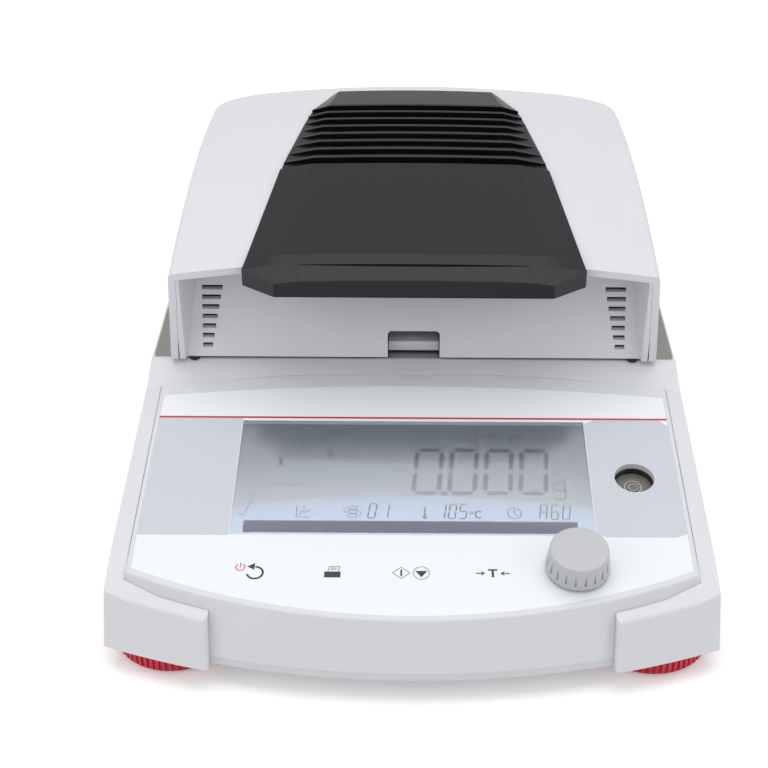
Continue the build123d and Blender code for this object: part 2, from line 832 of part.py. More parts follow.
def make_knob():
    """Turned knob: a slightly tapered cap with fine grooves around its side."""
    low = knob_gap
    high = knob_gap + knob_height
    outline = Polyline((0, low), (knob_base_radius, low), (knob_top_radius, high), (0, high), close=True)
    cap = revolve(Plane.XZ * make_face(outline.edges()), axis=Axis.Z)
    cap = fillet(cap.edges().filter_by(GeomType.CIRCLE).sort_by(Axis.Z)[-1], knob_top_fillet)
    cap = fillet(cap.edges().filter_by(GeomType.CIRCLE).sort_by(Axis.Z)[0], knob_skirt_fillet)
    inner = post(0, 0, 0, high - knob_wall, knob_top_radius - knob_wall)
    hub = post(0, 0, low + knob_gap, high - knob_wall, shaft_radius + knob_wall)
    cap -= inner - hub
    cap -= post(0, 0, 0, high - knob_wall - shaft_end_gap, shaft_radius)
    middle = (low + high) / 2 - knob_groove_depth
    rim = knob_base_radius + (knob_top_radius - knob_base_radius) * (middle - low) / knob_height
    groove = Pos(rim, 0, middle) * Box(2 * knob_groove_depth, knob_groove_width, knob_groove_length)
    for i in range(knob_grooves):
        cap -= Rot(0, 0, 360 / knob_grooves * (i + 0.5)) * groove
    return on_panel(knob_x, knob_y) * cap


def make_deck_plate():
    """Stainless deck sheet with the bore of the weighing chamber."""
    low = (-deck_half_width, deck_front_y, deck_top_z - deck_sheet)
    sheet = box_between(low, (deck_half_width, deck_rear_y - seat_gap, deck_top_z))
    corners = [e for e in sheet.edges().filter_by(Axis.Z) if e.center().Y < deck_front_y + 1]
    sheet = fillet(corners, deck_corner_radius)
    return sheet - post(0, chamber_y, 0, form_top_z, well_radius + seat_gap)


def make_chamber_well():
    """Pressed steel well that hangs by its flange in the deck."""
    flange_z = deck_top_z + well_sheet
    body = tube(0, chamber_y, deck_top_z, flange_z, well_radius + well_flange, well_radius - well_sheet)
    body += tube(0, chamber_y, well_floor_z, deck_top_z, well_radius, well_radius - well_sheet)
    floor_z = well_floor_z + well_sheet
    body += tube(0, chamber_y, well_floor_z, floor_z, well_radius - well_sheet, well_bore_radius)
    body += tube(0, chamber_y, floor_z, floor_z + well_rim, well_bore_radius + well_sheet, well_bore_radius)
    return body


def make_draft_shield():
    """Ring in the well that keeps draughts off the pan; its ledge carries the pan lifter."""
    outer = shield_radius
    inner = shield_radius - shield_sheet
    floor_z = well_floor_z + well_sheet
    body = tube(0, chamber_y, floor_z, ledge_z, outer, inner)
    body += tube(0, chamber_y, ledge_z - shield_sheet, ledge_z, inner, outer - shield_ledge)
    return body


def make_pan_lifter():
    """Flat ring around the pan with an arm that climbs over the well's edge to the front."""
    ring = tube(0, chamber_y, ledge_z, lifter_top_z, shield_radius - seat_gap, lifter_inner_radius)
    arm_low = deck_top_z + well_sheet + seat_gap
    half = lifter_arm_width / 2
    inner_y = chamber_y - lifter_inner_radius - lifter_sheet
    riser_y = chamber_y - shield_radius + riser_setback
    arm_high = arm_low + lifter_sheet
    riser = box_between((-half, riser_y, ledge_z), (half, riser_y + lifter_sheet, arm_high))
    riser += box_between((-half, riser_y, ledge_z), (half, inner_y, lifter_top_z))
    grip_back = grip_front_y + grip_depth
    arm = box_between((-half, grip_back - grip_hold, arm_low), (half, riser_y + lifter_sheet, arm_high))
    return ring + riser + arm


def make_lifter_grip():
    """White grip moulded on the end of the lifter's arm."""
    arm_low = deck_top_z + well_sheet + seat_gap
    low = arm_low - grip_sole
    back_y = grip_front_y + grip_depth
    front = (-grip_width / 2, grip_front_y, low)
    body = box_between(front, (grip_width / 2, back_y, low + grip_height))
    body = fillet(body.edges().filter_by(Axis.X), grip_edge_radius)
    half = lifter_arm_width / 2
    slot = (half, back_y + grow, arm_low + lifter_sheet)
    return body - box_between((-half, back_y - grip_hold, arm_low), slot)


def make_sample_pan():
    """Disposable dished sample pan with a rolled flange."""
    outer = post(0, chamber_y, pan_floor_z, pan_rim_z, pan_radius)
    inner = post(0, chamber_y, pan_floor_z + pan_sheet, pan_rim_z + pan_sheet + grow, pan_radius - pan_sheet)
    rim = post(0, chamber_y, pan_rim_z, pan_rim_z + pan_sheet, pan_radius + pan_flange)
    return outer + rim - inner


def make_pan_support():
    """Cross that carries the pan, on a hub over the weighing cell's stem."""
    low = support_top_z - support_thickness
    body = post(0, chamber_y, low, support_top_z, support_hub_radius)
    half = support_arm_width / 2
    for turn in (45, 135):
        arm = box_between((-support_radius, -half, low), (support_radius, half, support_top_z))
        body += Pos(0, chamber_y, 0) * Rot(0, 0, turn) * arm
    body += tube(0, chamber_y, low - support_hub_depth, low, support_hub_radius, stem_radius / 2)
    return body


def make_cell_stem():
    """Stem between the weighing cell's live end and the pan support."""
    shoulder_z = support_top_z - support_thickness - support_hub_depth
    body = post(0, chamber_y, cell_top_z, shoulder_z, stem_radius)
    return body + post(0, chamber_y, shoulder_z, shoulder_z + support_hub_depth, stem_radius / 2)


def make_weighing_cell():
    """Machined bending beam: paired holes joined by a slot leave four thin flexures."""
    front = chamber_y - cell_width / 2
    rear = front + cell_length
    half = cell_width / 2
    body = box_between((-half, front, cell_low_z), (half, rear, cell_top_z))
    middle_z = (cell_low_z + cell_top_z) / 2
    hole_radius = cell_hole_radius
    first = front + cell_width + hole_radius
    second = rear - cell_foot_length - hole_radius
    for y in (first, second):
        body -= bar_along_x(-cell_width, cell_width, y, middle_z, hole_radius)
    slot = cell_height / 2 - cell_web - cell_step
    body -= box_between((-cell_width, first, middle_z - slot), (cell_width, second, middle_z + slot))
    foot = (half, rear, cell_low_z)
    return body + box_between((-half, rear - cell_foot_length, cell_low_z - cell_gap), foot)


def make_cell_plate():
    """Cast plate that carries the weighing cell on the tray."""
    front = chamber_y - cell_width / 2
    rear = front + cell_length
    low = (-cell_plate_half_width, front - cell_plate_margin, tray_top_z)
    body = box_between(low, (cell_plate_half_width, rear, tray_top_z + cell_plate_thickness))
    return fillet(body.edges().filter_by(Axis.Z), cell_plate_corner)


def lid_plan(z, inset, front_extra):
    """Plan outline of the lid at one height: tapered sides and rounded rear corners."""
    rise = z - lid_low_z
    front_half = lid_half_width - inset - rise * tan(radians(lid_draft))
    rear_half = front_half - lid_taper
    front_y = lid_front_y - front_extra
    rear_y = lid_rear_y - inset
    corners = [(-front_half, front_y), (front_half, front_y), (rear_half, rear_y), (-rear_half, rear_y)]
    outline = Polyline(*corners, close=True)
    face = make_face(outline.edges())
    rear = face.vertices().sort_by(Axis.Y)[-2:]
    face = fillet(rear, lid_rear_corner - inset)
    return Pos(0, 0, z) * face


def lid_barrel(inset=0.0):
    """Doubly curved top: a shallow crown across the lid, swept fore and aft in a large arc."""
    side_z = lid_side_height - inset
    half = lid_half_width
    crown = ThreePointArc((-half, side_z), (0, side_z + lid_crown), (half, side_z))
    axis_z = lid_side_height - lid_side_radius
    closing = Polyline(crown @ 1, (half, axis_z), (-half, axis_z), crown @ 0)
    upright = Plane(origin=(0, 0, 0), x_dir=(1, 0, 0), z_dir=(0, -1, 0))
    axis = Axis((0, 0, axis_z), (1, 0, 0))
    swung = (upright * make_face([crown, *closing.edges()])).rotate(axis, -lid_barrel_arc / 2)
    return Pos(0, lid_apex_y, deck_top_z) * revolve(swung, axis=axis, revolution_arc=lid_barrel_arc)


def lid_top_z(x, y):
    """Height of the lid's outer top surface."""
    cross_radius = (lid_half_width**2 + lid_crown**2) / (2 * lid_crown)
    rise = lid_crown - cross_radius + sqrt(cross_radius**2 - x**2)
    reach = lid_side_radius + rise
    fall = reach - sqrt(reach**2 - (y - lid_apex_y)**2)
    return deck_top_z + lid_side_height + rise - fall


def lid_form(inset=0.0, front_extra=0.0):
    """The lid's outer block, or an inner one drawn in by inset."""
    low = lid_plan(lid_low_z - (grow if inset else 0), inset, front_extra)
    high = lid_plan(lid_top_z_limit, inset, front_extra)
    return loft([low.face(), high.face()], ruled=True) & lid_barrel(inset)


def make_lid_shell():
    """White outer moulding of the lid, open at the bottom and the front."""
    body = lid_form()
    half_height = deck_top_z + lid_side_height / 2
    top = [e for e in body.edges() if e.center().Z > half_height and e.center().Y > lid_front_y + 1]
    body = fillet(top, lid_edge_radius)
    body -= lid_form(lid_wall, cover_lip_reach)
    rear_z = deck_top_z + relief_height
    far = base_depth
    body -= box_between((-far, relief_front_y, 0), (far, far, rear_z))
    half = knuckle_width / 2 + ear_gap + ear_width + notch_gap
    notch_z = hinge_z + knuckle_radius + notch_gap
    rear = lid_rear_y - 2 * lid_wall
    for x in (-hinge_x, hinge_x):
        body -= box_between((x - half, rear, 0), (x + half, far, notch_z))
    return body - vent_column(0, half_height)


def vent_column(margin, low_z):
    """The lid's vent opening, wider by a margin, taken up from one height."""
    front_y = lid_front_y + louver_start_y - margin
    rear_y = lid_front_y + louver_start_y + louver_count * louver_pitch + margin
    half = louver_open_half_width + margin
    return box_between((-half, front_y, low_z), (half, rear_y, lid_top_z_limit))


def make_vent_baffle():
    """Black tray under the vent opening, open to the rear, that hides the lamp from above."""
    low_z = deck_top_z + baffle_height
    inner = baffle_margin - baffle_sheet
    tray = vent_column(baffle_margin, low_z) & lid_form(lid_wall + seat_gap / 2)
    tray -= vent_column(inner, low_z + baffle_sheet)
    half = louver_open_half_width + inner
    rear_y = lid_front_y + louver_start_y + louver_count * louver_pitch
    mouth_z = low_z + baffle_sheet
    return tray - box_between((-half, rear_y, mouth_z), (half, rear_y + 2 * baffle_margin, lid_top_z_limit))


def apron_wedge(thickness=0.0):
    """The hollow under the lid's front edge, or its outside when given a thickness."""
    top_z = lid_top_z_limit
    lean = (apron_high_depth - apron_low_depth) / (apron_high_z - lid_low_z)
    splay = (apron_front_half_width - apron_back_half_width) / apron_high_depth
    faces = []
    for z in (lid_low_z - (0 if thickness else grow), top_z):
        depth = apron_low_depth + (z - lid_low_z) * lean
        front = apron_front_half_width + thickness
        back = apron_front_half_width - splay * depth + thickness
        back_y = lid_front_y + depth + thickness * apron_slant
        front_y = lid_front_y
        if not thickness:
            front_y = lid_front_y - lid_wall
            front = apron_front_half_width + splay * lid_wall
        outline = Polyline(
            (-front, front_y, z), (front, front_y, z), (back, back_y, z), (-back, back_y, z), close=True
        )
        faces.append(make_face(outline.edges()).face())
    return loft(faces, ruled=True)


def slot_length(row):
    """Length of one vent slot, longer towards the top."""
    return slot_short + (slot_long - slot_short) * row / (slot_rows - 1)


def make_lid_apron():
    """White inner front panel: a leaning plate between splayed cheeks, with vent slots."""
    body = apron_wedge(apron_sheet) - apron_wedge()
    body = body & lid_form(lid_wall + seat_gap / 2, cover_lip_reach)
    back_y = lid_front_y + 2 * apron_high_depth
    front_y = lid_front_y - 1
    slots = Part()
    for row in range(slot_rows):
        z = slot_low_z + row * slot_pitch
        inner_x = slot_outer_x - slot_length(row)
        low = (inner_x, front_y, z - slot_height / 2)
        slots += box_between(low, (slot_outer_x, back_y, z + slot_height / 2))
    body -= both_sides(slots)
    half = notch_width / 2
    notch = box_between((-half, front_y, lid_low_z - 1), (half, back_y, lid_low_z + notch_height))
    body -= fillet(notch.edges().filter_by(Axis.Y).sort_by(Axis.Z)[-2:], notch_corner)
    return body


def cover_outline():
    """Plan outline of the vent cover, from its lip to the rear chamfers."""
    rim = lid_front_y
    half = [
        (cover_lip_half_width, rim - cover_lip_reach),
        (cover_front_half_width, rim - cover_corner_reach),
        (cover_rear_half_width, rim + cover_chamfer_y),
        (cover_end_half_width, rim + cover_rear_y),
    ]
    other = [(-x, y) for x, y in reversed(half)]
    return make_face(Polyline(*half, *other, close=True).edges())


def cover_edge_x(y_off):
    """Half width of the cover's outline behind its front corners."""
    if y_off < cover_chamfer_y:
        share = (y_off + cover_corner_reach) / (cover_chamfer_y + cover_corner_reach)
        return cover_front_half_width + share * (cover_rear_half_width - cover_front_half_width)
    share = (y_off - cover_chamfer_y) / (cover_rear_y - cover_chamfer_y)
    return cover_rear_half_width + share * (cover_end_half_width - cover_rear_half_width)


def cover_section(y_off, fold_x, edge_x, fold_proud, edge_proud):
    """Cross-section of the cover: a crowned middle facet between two side facets."""
    y = lid_front_y + y_off
    surface_y = max(y, lid_front_y)
    fold_z = lid_top_z(fold_x, surface_y) + fold_proud
    edge_z = lid_top_z(edge_x, surface_y) + edge_proud
    side_x = edge_x + cover_lip_reach
    side_z = edge_z + (edge_z - fold_z) / (edge_x - fold_x) * cover_lip_reach
    low_z = deck_top_z
    crown = ThreePointArc((-fold_x, y, fold_z), (0, y, fold_z + cover_crown), (fold_x, y, fold_z))
    right = Polyline((fold_x, y, fold_z), (side_x, y, side_z), (side_x, y, low_z), (-side_x, y, low_z))
    left = Polyline((-side_x, y, low_z), (-side_x, y, side_z), (-fold_x, y, fold_z))
    return make_face([crown, *right.edges(), *left.edges()]).face()


def cover_top():
    """Everything below the cover's faceted top."""
    fold = cover_fold_proud
    edge = cover_edge_proud
    lip_edge = cover_lip_edge_proud - cover_lip_drop
    corner_fold = fold - cover_corner_drop
    corner_edge = edge - cover_corner_edge_drop
    fall = cover_rear_fall
    stations = [
        (-cover_lip_reach - grow, cover_lip_fold, cover_lip_half_width, fold - cover_lip_drop, lip_edge),
        (-cover_corner_reach, cover_corner_fold, cover_front_half_width, corner_fold, corner_edge),
        (0, cover_fold_front, cover_edge_x(0), fold, edge),
        (cover_mid_y, cover_fold_mid, cover_edge_x(cover_mid_y), fold, edge),
        (cover_chamfer_y, cover_fold_rear, cover_rear_half_width, fold, edge),
        (cover_rear_y + grow, cover_fold_end, cover_end_half_width, fold - fall, edge - fall),
    ]
    return loft([cover_section(*station) for station in stations], ruled=True)


def louver_slots():
    """Slanted cuts between the louver slats."""
    height = lid_side_height
    cuts = Part()
    for i in range(louver_count):
        y = lid_front_y + louver_start_y + (i + 0.5) * louver_pitch
        z = lid_top_z(0, y)
        blade = Box(4 * cover_front_half_width, louver_slot * cos(radians(louver_tilt)), height)
        cuts += Pos(0, y, z) * Rot(louver_tilt, 0, 0) * blade
    return cuts


def make_vent_cover():
    """Black cover over the lid: faceted, with a grip lip in front and louvers at the back."""
    lip_z = lid_top_z(0, lid_front_y) + cover_crown - cover_lip_height - cover_lip_drop + cover_edge_proud
    block = extrude(Pos(0, 0, lip_z) * cover_outline(), amount=lid_side_height)
    body = block & cover_top()
    raised = Pos(0, 0, louver_rim) * lid_form()
    body -= lid_form()
    slots = louver_slots()
    half = louver_open_half_width
    middle = box_between((-half, -base_depth, 0), (half, base_depth, 2 * lid_top_z_limit))
    body -= slots - raised
    body -= slots & middle
    tilt = cover_lip_drop / cover_lip_reach
    recess_y = lid_front_y - cover_lip_reach + recess_setback + recess_length / 2
    surface = lid_top_z(cover_lip_fold, lid_front_y) + cover_fold_proud - cover_lip_drop
    surface += (recess_y - lid_front_y + cover_lip_reach) * tilt
    upright = (Align.CENTER, Align.CENTER, Align.MIN)
    floor = Box(2 * recess_half_width, recess_length, cover_lip_drop, align=upright)
    body -= Pos(0, recess_y, surface - recess_depth) * Rot(degrees(atan(tilt)), 0, 0) * floor
    return body


def lid_inner_half(z):
    """Half width of the space between the lid's side walls at one height."""
    return lid_half_width - lid_wall - (z - lid_low_z) * tan(radians(lid_draft))


def make_lid_liner():
    """Aluminium floor of the lid, folded up at its edges, with the heater's round mouth."""
    face = lid_plan(liner_z, lid_wall + seat_gap, 0)
    far = base_depth
    front_y = apron_back_y(liner_z)
    reach = box_between((-far, front_y, 0), (far, liner_rear_y, lid_top_z_limit))
    block = extrude(face, amount=liner_wall_height) & reach
    hollow_face = lid_plan(liner_top_z, lid_wall + seat_gap + liner_sheet, 0)
    reach = box_between((-far, front_y + liner_sheet, 0), (far, far, lid_top_z_limit))
    hollow = extrude(hollow_face, amount=liner_wall_height) & reach
    body = (block & lid_form(lid_wall + seat_gap)) - hollow
    body -= apron_wedge(apron_sheet + seat_gap)
    body -= post(0, chamber_y, 0, lid_top_z_limit, liner_bore_radius)
    return body


def apron_back_y(z):
    """Rear face of the apron's plate at one height."""
    lean = (apron_high_depth - apron_low_depth) / (apron_high_z - lid_low_z)
    return lid_front_y + apron_low_depth + (z - lid_low_z) * lean + apron_sheet * apron_slant + seat_gap


def make_protective_glass():
    """Glass disc that lies on the liner under the lamp."""
    return post(0, chamber_y, liner_top_z, glass_top_z, glass_radius)


def make_glass_clips():
    """Spring clips on the liner that hold the glass at its edge."""
    half = clip_width / 2
    near = glass_radius + seat_gap
    high = glass_top_z + clip_sheet
    clip = box_between((near, -half, liner_top_z), (near + clip_reach, half, liner_top_z + clip_sheet))
    clip += box_between((near, -half, liner_top_z), (near + clip_sheet, half, high))
    clip += box_between((glass_radius - clip_reach, -half, glass_top_z), (near, half, high))
    clips = Part()
    for i in range(clip_count):
        turn = 360 / clip_count * i + clip_turn
        clips += Pos(0, chamber_y, 0) * Rot(0, 0, turn) * clip
    return clips


def make_reflector():
    """Spun aluminium bowl over the lamp, on a flange that stands on the liner."""
    low_z = glass_top_z + clip_sheet + seat_gap
    high_z = low_z + reflector_height
    rim = reflector_rim_radius
    top = reflector_top_radius
    sheet = reflector_sheet
    skirt = rim + reflector_flange
    middle = ((rim + top) / 2 + reflector_bulge, (low_z + high_z) / 2 + reflector_bulge / 2)
    outer_middle = (middle[0] + sheet, middle[1] + sheet)
    outer = [
        Line((skirt, liner_top_z), (skirt, low_z)),
        Line((skirt, low_z), (rim, low_z)),
        ThreePointArc((rim, low_z), middle, (top, high_z)),
        Line((top, high_z), (vent_bore_radius, high_z)),
        Line((vent_bore_radius, high_z), (vent_bore_radius, high_z + sheet)),
        Line((vent_bore_radius, high_z + sheet), (top + sheet, high_z + sheet)),
        ThreePointArc((top + sheet, high_z + sheet), outer_middle, (rim + sheet, low_z + sheet)),
        Line((rim + sheet, low_z + sheet), (skirt + sheet, low_z + sheet)),
        Line((skirt + sheet, low_z + sheet), (skirt + sheet, liner_top_z)),
        Line((skirt + sheet, liner_top_z), (skirt, liner_top_z)),
    ]
    body = Pos(0, chamber_y, 0) * revolve(Plane.XZ * make_face(outer), axis=Axis.Z)
    for x in lamp_leg_xs():
        body -= post(x, chamber_y + lamp_leg_y, low_z, lid_top_z_limit, lamp_tube_radius + lamp_leg_gap)
    return body


def lamp_leg_xs():
    """Places of the lamp's two ends across the lid."""
    angle = radians(lamp_gap_angle / 2)
    yield -lamp_ring_radius * sin(angle)
    yield lamp_ring_radius * sin(angle)


def make_halogen_lamp():
    """Ring-shaped halogen tube whose two ends turn up through the reflector."""
    axis_z = glass_top_z + lamp_height
    gap = lamp_gap_angle
    path = Pos(0, chamber_y, axis_z) * CenterArc((0, 0), lamp_ring_radius, 90 + gap / 2, 360 - gap)
    ring = sweep(Plane(origin=path @ 0, z_dir=path % 0) * Circle(lamp_tube_radius), path=path)
    high_z = glass_top_z + clip_sheet + seat_gap + reflector_height + reflector_sheet
    for x in lamp_leg_xs():
        y = chamber_y + lamp_leg_y
        ring += post(x, y, axis_z, high_z + lamp_stub, lamp_tube_radius)
        ring += Pos(x, y, axis_z) * Sphere(lamp_tube_radius)
    return ring


def make_lamp_holders():
    """Ceramic sockets on the reflector that grip the lamp's ends."""
    low_z = glass_top_z + clip_sheet + seat_gap + reflector_height + reflector_sheet
    holders = Part()
    half = holder_width / 2
    for x in lamp_leg_xs():
        y = chamber_y + lamp_leg_y
        front = (x - half, y - holder_length / 2, low_z)
        block = box_between(front, (x + half, y + holder_length / 2, low_z + holder_height))
        holders += block - post(x, y, low_z - grow, low_z + lamp_stub + seat_gap, lamp_tube_radius)
    return holders


def make_temperature_sensor():
    """Probe that reaches in under the glass from a clip on the liner's front edge."""
    y = chamber_y + liner_bore_radius
    half = sensor_width / 2
    body = box_between((-half, y - liner_sheet, liner_z - sensor_drop), (half, y + sensor_clip, liner_z))
    start = Plane(origin=(0, y, liner_z - sensor_drop / 2), z_dir=(0, -1, 0))
    return body + extrude(start * Circle(sensor_radius), amount=sensor_length)


def make_lid_bumpers():
    """Rubber stops under the lid's front corners."""
    low_z = deck_top_z + bumper_gap
    return both_sides(post(bumper_x, lid_front_y + bumper_setback, low_z, lid_low_z, bumper_radius))


def hinge_disc(x_low, x_high):
    return bar_along_x(x_low, x_high, hinge_y, hinge_z, knuckle_radius)


def make_hinge_brackets():
    """Steel brackets on the deck: two ears each, on a screwed foot."""
    inner = knuckle_width / 2 + ear_gap
    outer = inner + ear_width
    back_y = hinge_y + knuckle_radius
    front_y = hinge_y - knuckle_radius
    body = Part()
    for low, high in ((-outer, -inner), (inner, outer)):
        low_x, high_x = hinge_x + low, hinge_x + high
        body += hinge_disc(low_x, high_x)
        body += box_between((low_x, front_y, deck_top_z), (high_x, back_y, hinge_z))
    foot = (hinge_x - outer, front_y - hinge_plate_front, deck_top_z)
    body += box_between(foot, (hinge_x + outer, back_y, deck_top_z + hinge_plate))
    body -= bar_along_x(0, base_half_width, hinge_y, hinge_z, pin_radius)
    return both_sides(body)


def make_hinge_pins():
    """Steel pins pressed into the ears, on which the lid's arms turn."""
    reach = knuckle_width / 2 + ear_gap + ear_width
    return both_sides(bar_along_x(hinge_x - reach, hinge_x + reach, hinge_y, hinge_z, pin_radius))


def make_hinge_arms():
    """Arms screwed to the lid's liner, each with one knuckle between a pair of ears."""
    low = hinge_x - knuckle_width / 2
    high = hinge_x + knuckle_width / 2
    front_y = liner_rear_y - arm_reach
    body = hinge_disc(low, high)
    body += box_between((low, front_y, liner_top_z), (high, hinge_y, liner_top_z + arm_height))
    body += box_between((low, liner_rear_y + seat_gap, hinge_z), (high, hinge_y, liner_top_z + grow))
    body -= bar_along_x(low - grow, high + grow, hinge_y, hinge_z, pin_radius + pin_running_gap)
    return both_sides(body)


def make_foot_wheel():
    """Red levelling wheel with a scalloped rim, hollow below for its pad."""
    pitch = 2 * pi / wheel_teeth
    root = wheel_radius - wheel_tooth_depth
    points = []
    for i in range(wheel_teeth):
        for share, radius in ((0.0, wheel_radius), (0.5, wheel_radius), (0.65, root), (0.85, root)):
            angle = (i + share) * pitch
            points.append((radius * cos(angle), radius * sin(angle)))
    face = Pos(0, 0, wheel_low_z) * make_face(Polyline(*points, close=True).edges())
    teeth = extrude(face, amount=wheel_high_z - wheel_low_z)
    blank = post(0, 0, wheel_low_z, wheel_high_z, wheel_radius)
    blank = chamfer(blank.edges().filter_by(GeomType.CIRCLE).sort_by(Axis.Z)[-1], wheel_top_chamfer)
    blank = chamfer(blank.edges().filter_by(GeomType.CIRCLE).sort_by(Axis.Z)[0], wheel_chamfer)
    body = teeth & blank
    body -= post(0, 0, 0, pad_height + seat_gap, pad_radius + seat_gap)
    body -= post(0, 0, 0, stud_low_z() - 2 * seat_gap, pad_pin_radius + shaft_bore_gap)
    body -= post(0, 0, stud_low_z(), wheel_high_z + grow, stud_radius)
    return body


def stud_low_z():
    """Lower end of a stud, above the pin of its pad."""
    return pad_height + pad_pin_height + 4 * seat_gap


def make_foot_stud():
    """Threaded stud of a front foot, plain here, fixed in its wheel."""
    return post(0, 0, stud_low_z(), stud_high_z, stud_radius)


def make_foot_pad():
    """Non-slip pad that stays still on the bench while its wheel turns."""
    pin_high = pad_height + pad_pin_height
    return post(0, 0, 0, pad_height, pad_radius) + post(0, 0, pad_height, pin_high, pad_pin_radius)


def make_foot_nuts():
    """Brass inserts in the tray's bosses, in which the studs turn."""
    low = tray_top_z
    nut = tube(front_foot_x, front_foot_y, low, low + nut_height, nut_radius, stud_radius + thread_gap)
    return both_sides(nut)


def make_rear_feet():
    """Two fixed rubber feet, each with a stem pushed into the tray."""
    foot = post(rear_foot_x, rear_foot_y, 0, foot_gap, rear_foot_radius)
    foot = fillet(foot.edges().filter_by(GeomType.CIRCLE).sort_by(Axis.Z)[0], rear_foot_edge)
    stem = post(rear_foot_x, rear_foot_y, foot_gap, foot_gap + rear_foot_stem_height, rear_foot_stem)
    return both_sides(foot + stem)


def make_power_inlet():
    """Mains inlet: a flanged body with three flat pins in its socket and a fuse bay above."""
    half = inlet_width / 2
    rise = inlet_height / 2
    front = (inlet_x - half, base_rear_y - inlet_depth, inlet_z - rise)
    body = box_between(front, (inlet_x + half, base_rear_y, inlet_z + rise))
    flange = (inlet_x - half - inlet_flange, base_rear_y, inlet_z - rise - inlet_flange)
    back_y = base_rear_y + inlet_flange_thickness
    body += box_between(flange, (inlet_x + half + inlet_flange, back_y, inlet_z + rise + inlet_flange))
    socket_z = inlet_z - socket_drop
    half = socket_width / 2
    rise = socket_height / 2
    floor_y = back_y - socket_depth
    low = (inlet_x - half, floor_y, socket_z - rise)
    socket = box_between(low, (inlet_x + half, back_y + grow, socket_z + rise))
    body -= chamfer(socket.edges().filter_by(Axis.Y).sort_by(Axis.Z)[-2:], socket_height / 4)
    half = fuse_width / 2 + seat_gap
    rise = fuse_height / 2 + seat_gap
    fuse_z = inlet_z + fuse_rise
    deep_y = back_y - fuse_depth - seat_gap
    bay = (inlet_x + half, back_y + grow, fuse_z + rise)
    body -= box_between((inlet_x - half, deep_y, fuse_z - rise), bay)
    return body


def make_inlet_pins():
    """Three flat pins that stand in the mains socket."""
    socket_z = inlet_z - socket_drop
    floor_y = base_rear_y + inlet_flange_thickness - socket_depth
    pins = Part()
    for dx, dz in ((-pin_spread, -pin_size), (pin_spread, -pin_size), (0, pin_size)):
        x = inlet_x + dx
        z = socket_z + dz
        low = (x - pin_size / 2, floor_y, z - pin_size)
        pins += box_between(low, (x + pin_size / 2, floor_y + blade_length, z + pin_size))
    return pins


def make_fuse_drawer():
    """Drawer with the fuse, pulled out of the inlet to the rear."""
    fuse_z = inlet_z + fuse_rise
    back_y = base_rear_y + inlet_flange_thickness
    half = fuse_width / 2
    rise = fuse_height / 2
    front_y = back_y - fuse_depth
    face_y = back_y + drawer_face
    body = box_between((inlet_x - half, front_y, fuse_z - rise), (inlet_x + half, face_y, fuse_z + rise))
    inner = half - drawer_wall
    body -= box_between(
        (inlet_x - inner, front_y + drawer_wall, fuse_z - rise + drawer_floor),
        (inlet_x + inner, back_y - drawer_wall, fuse_z + rise + grow),
    )
    half = drawer_catch_width / 2
    rise = drawer_catch_height / 2
    catch = (inlet_x + half, face_y + drawer_catch, fuse_z + rise)
    return body + box_between((inlet_x - half, face_y - grow, fuse_z - rise), catch)


def make_port(x, width, height, lip):
    """A shielded connector in the rear wall with a shallow mouth."""
    half = width / 2
    rise = height / 2
    back_y = base_rear_y + lip
    front_y = base_rear_y - port_depth
    body = box_between((x - half, front_y, port_z - rise), (x + half, back_y, port_z + rise))
    half -= port_wall
    rise -= port_wall
    mouth = (x + half, back_y + grow, port_z + rise)
    return body - box_between((x - half, back_y - port_cavity, port_z - rise), mouth)


def make_power_supply():
    """Power supply board on the tray's posts, with transformer, capacitors and heat sink."""
    low = tray_top_z + standoff_height
    top = low + board_thickness
    half = supply_width / 2
    reach = supply_length / 2
    body = box_between((supply_x - half, supply_y - reach, low), (supply_x + half, supply_y + reach, top))
    for x, y, width, depth, height in supply_blocks:
        centre = Pos(supply_x + x, supply_y + y, top)
        body += centre * Box(width, depth, height, align=(Align.CENTER, Align.CENTER, Align.MIN))
    for x, y, radius, height in supply_capacitors:
        body += post(supply_x + x, supply_y + y, top, top + height, radius)
    return body


save("base_housing", make_base_housing())
save("bottom_tray", make_bottom_tray())
save("tray_screws", make_tray_screws())
save("panel_bezel", make_panel_bezel())
save("panel_overlay", make_panel_overlay())
save("display_window", make_display_window())
save("lcd_module", make_lcd_module())
save("main_board", make_main_board())
save("key_switches", make_key_switches())
save("level_cup", make_level_cup())
save("level_vial", make_level_vial())
save("encoder_body", make_encoder_body())
save("encoder_plunger", make_encoder_plunger())
save("encoder_shaft", make_encoder_shaft())
save("knob", make_knob())
save("deck_plate", make_deck_plate())
save("chamber_well", make_chamber_well())
save("draft_shield", make_draft_shield())
save("pan_lifter", make_pan_lifter())
save("lifter_grip", make_lifter_grip())
save("sample_pan", make_sample_pan())
save("pan_support", make_pan_support())
save("cell_stem", make_cell_stem())
save("weighing_cell", make_weighing_cell())
save("cell_plate", make_cell_plate())
save("lid_shell", make_lid_shell())
save("lid_apron", make_lid_apron())
save("vent_baffle", make_vent_baffle())
save("vent_cover", make_vent_cover())
save("lid_liner", make_lid_liner())
save("protective_glass", make_protective_glass())
save("glass_clips", make_glass_clips())
save("reflector", make_reflector())
save("halogen_lamp", make_halogen_lamp())
save("lamp_holders", make_lamp_holders())
save("temperature_sensor", make_temperature_sensor())
save("lid_bumpers", make_lid_bumpers())
save("hinge_brackets", make_hinge_brackets())
save("hinge_pins", make_hinge_pins())
save("hinge_arms", make_hinge_arms())
save("foot_nuts", make_foot_nuts())
save("rear_feet", make_rear_feet())
save("power_inlet", make_power_inlet())
save("inlet_pins", make_inlet_pins())
save("fuse_drawer", make_fuse_drawer())
save("serial_port", make_port(serial_x, serial_width, serial_height, port_lip))
save("usb_port", make_port(usb_x, usb_width, usb_height, port_lip))
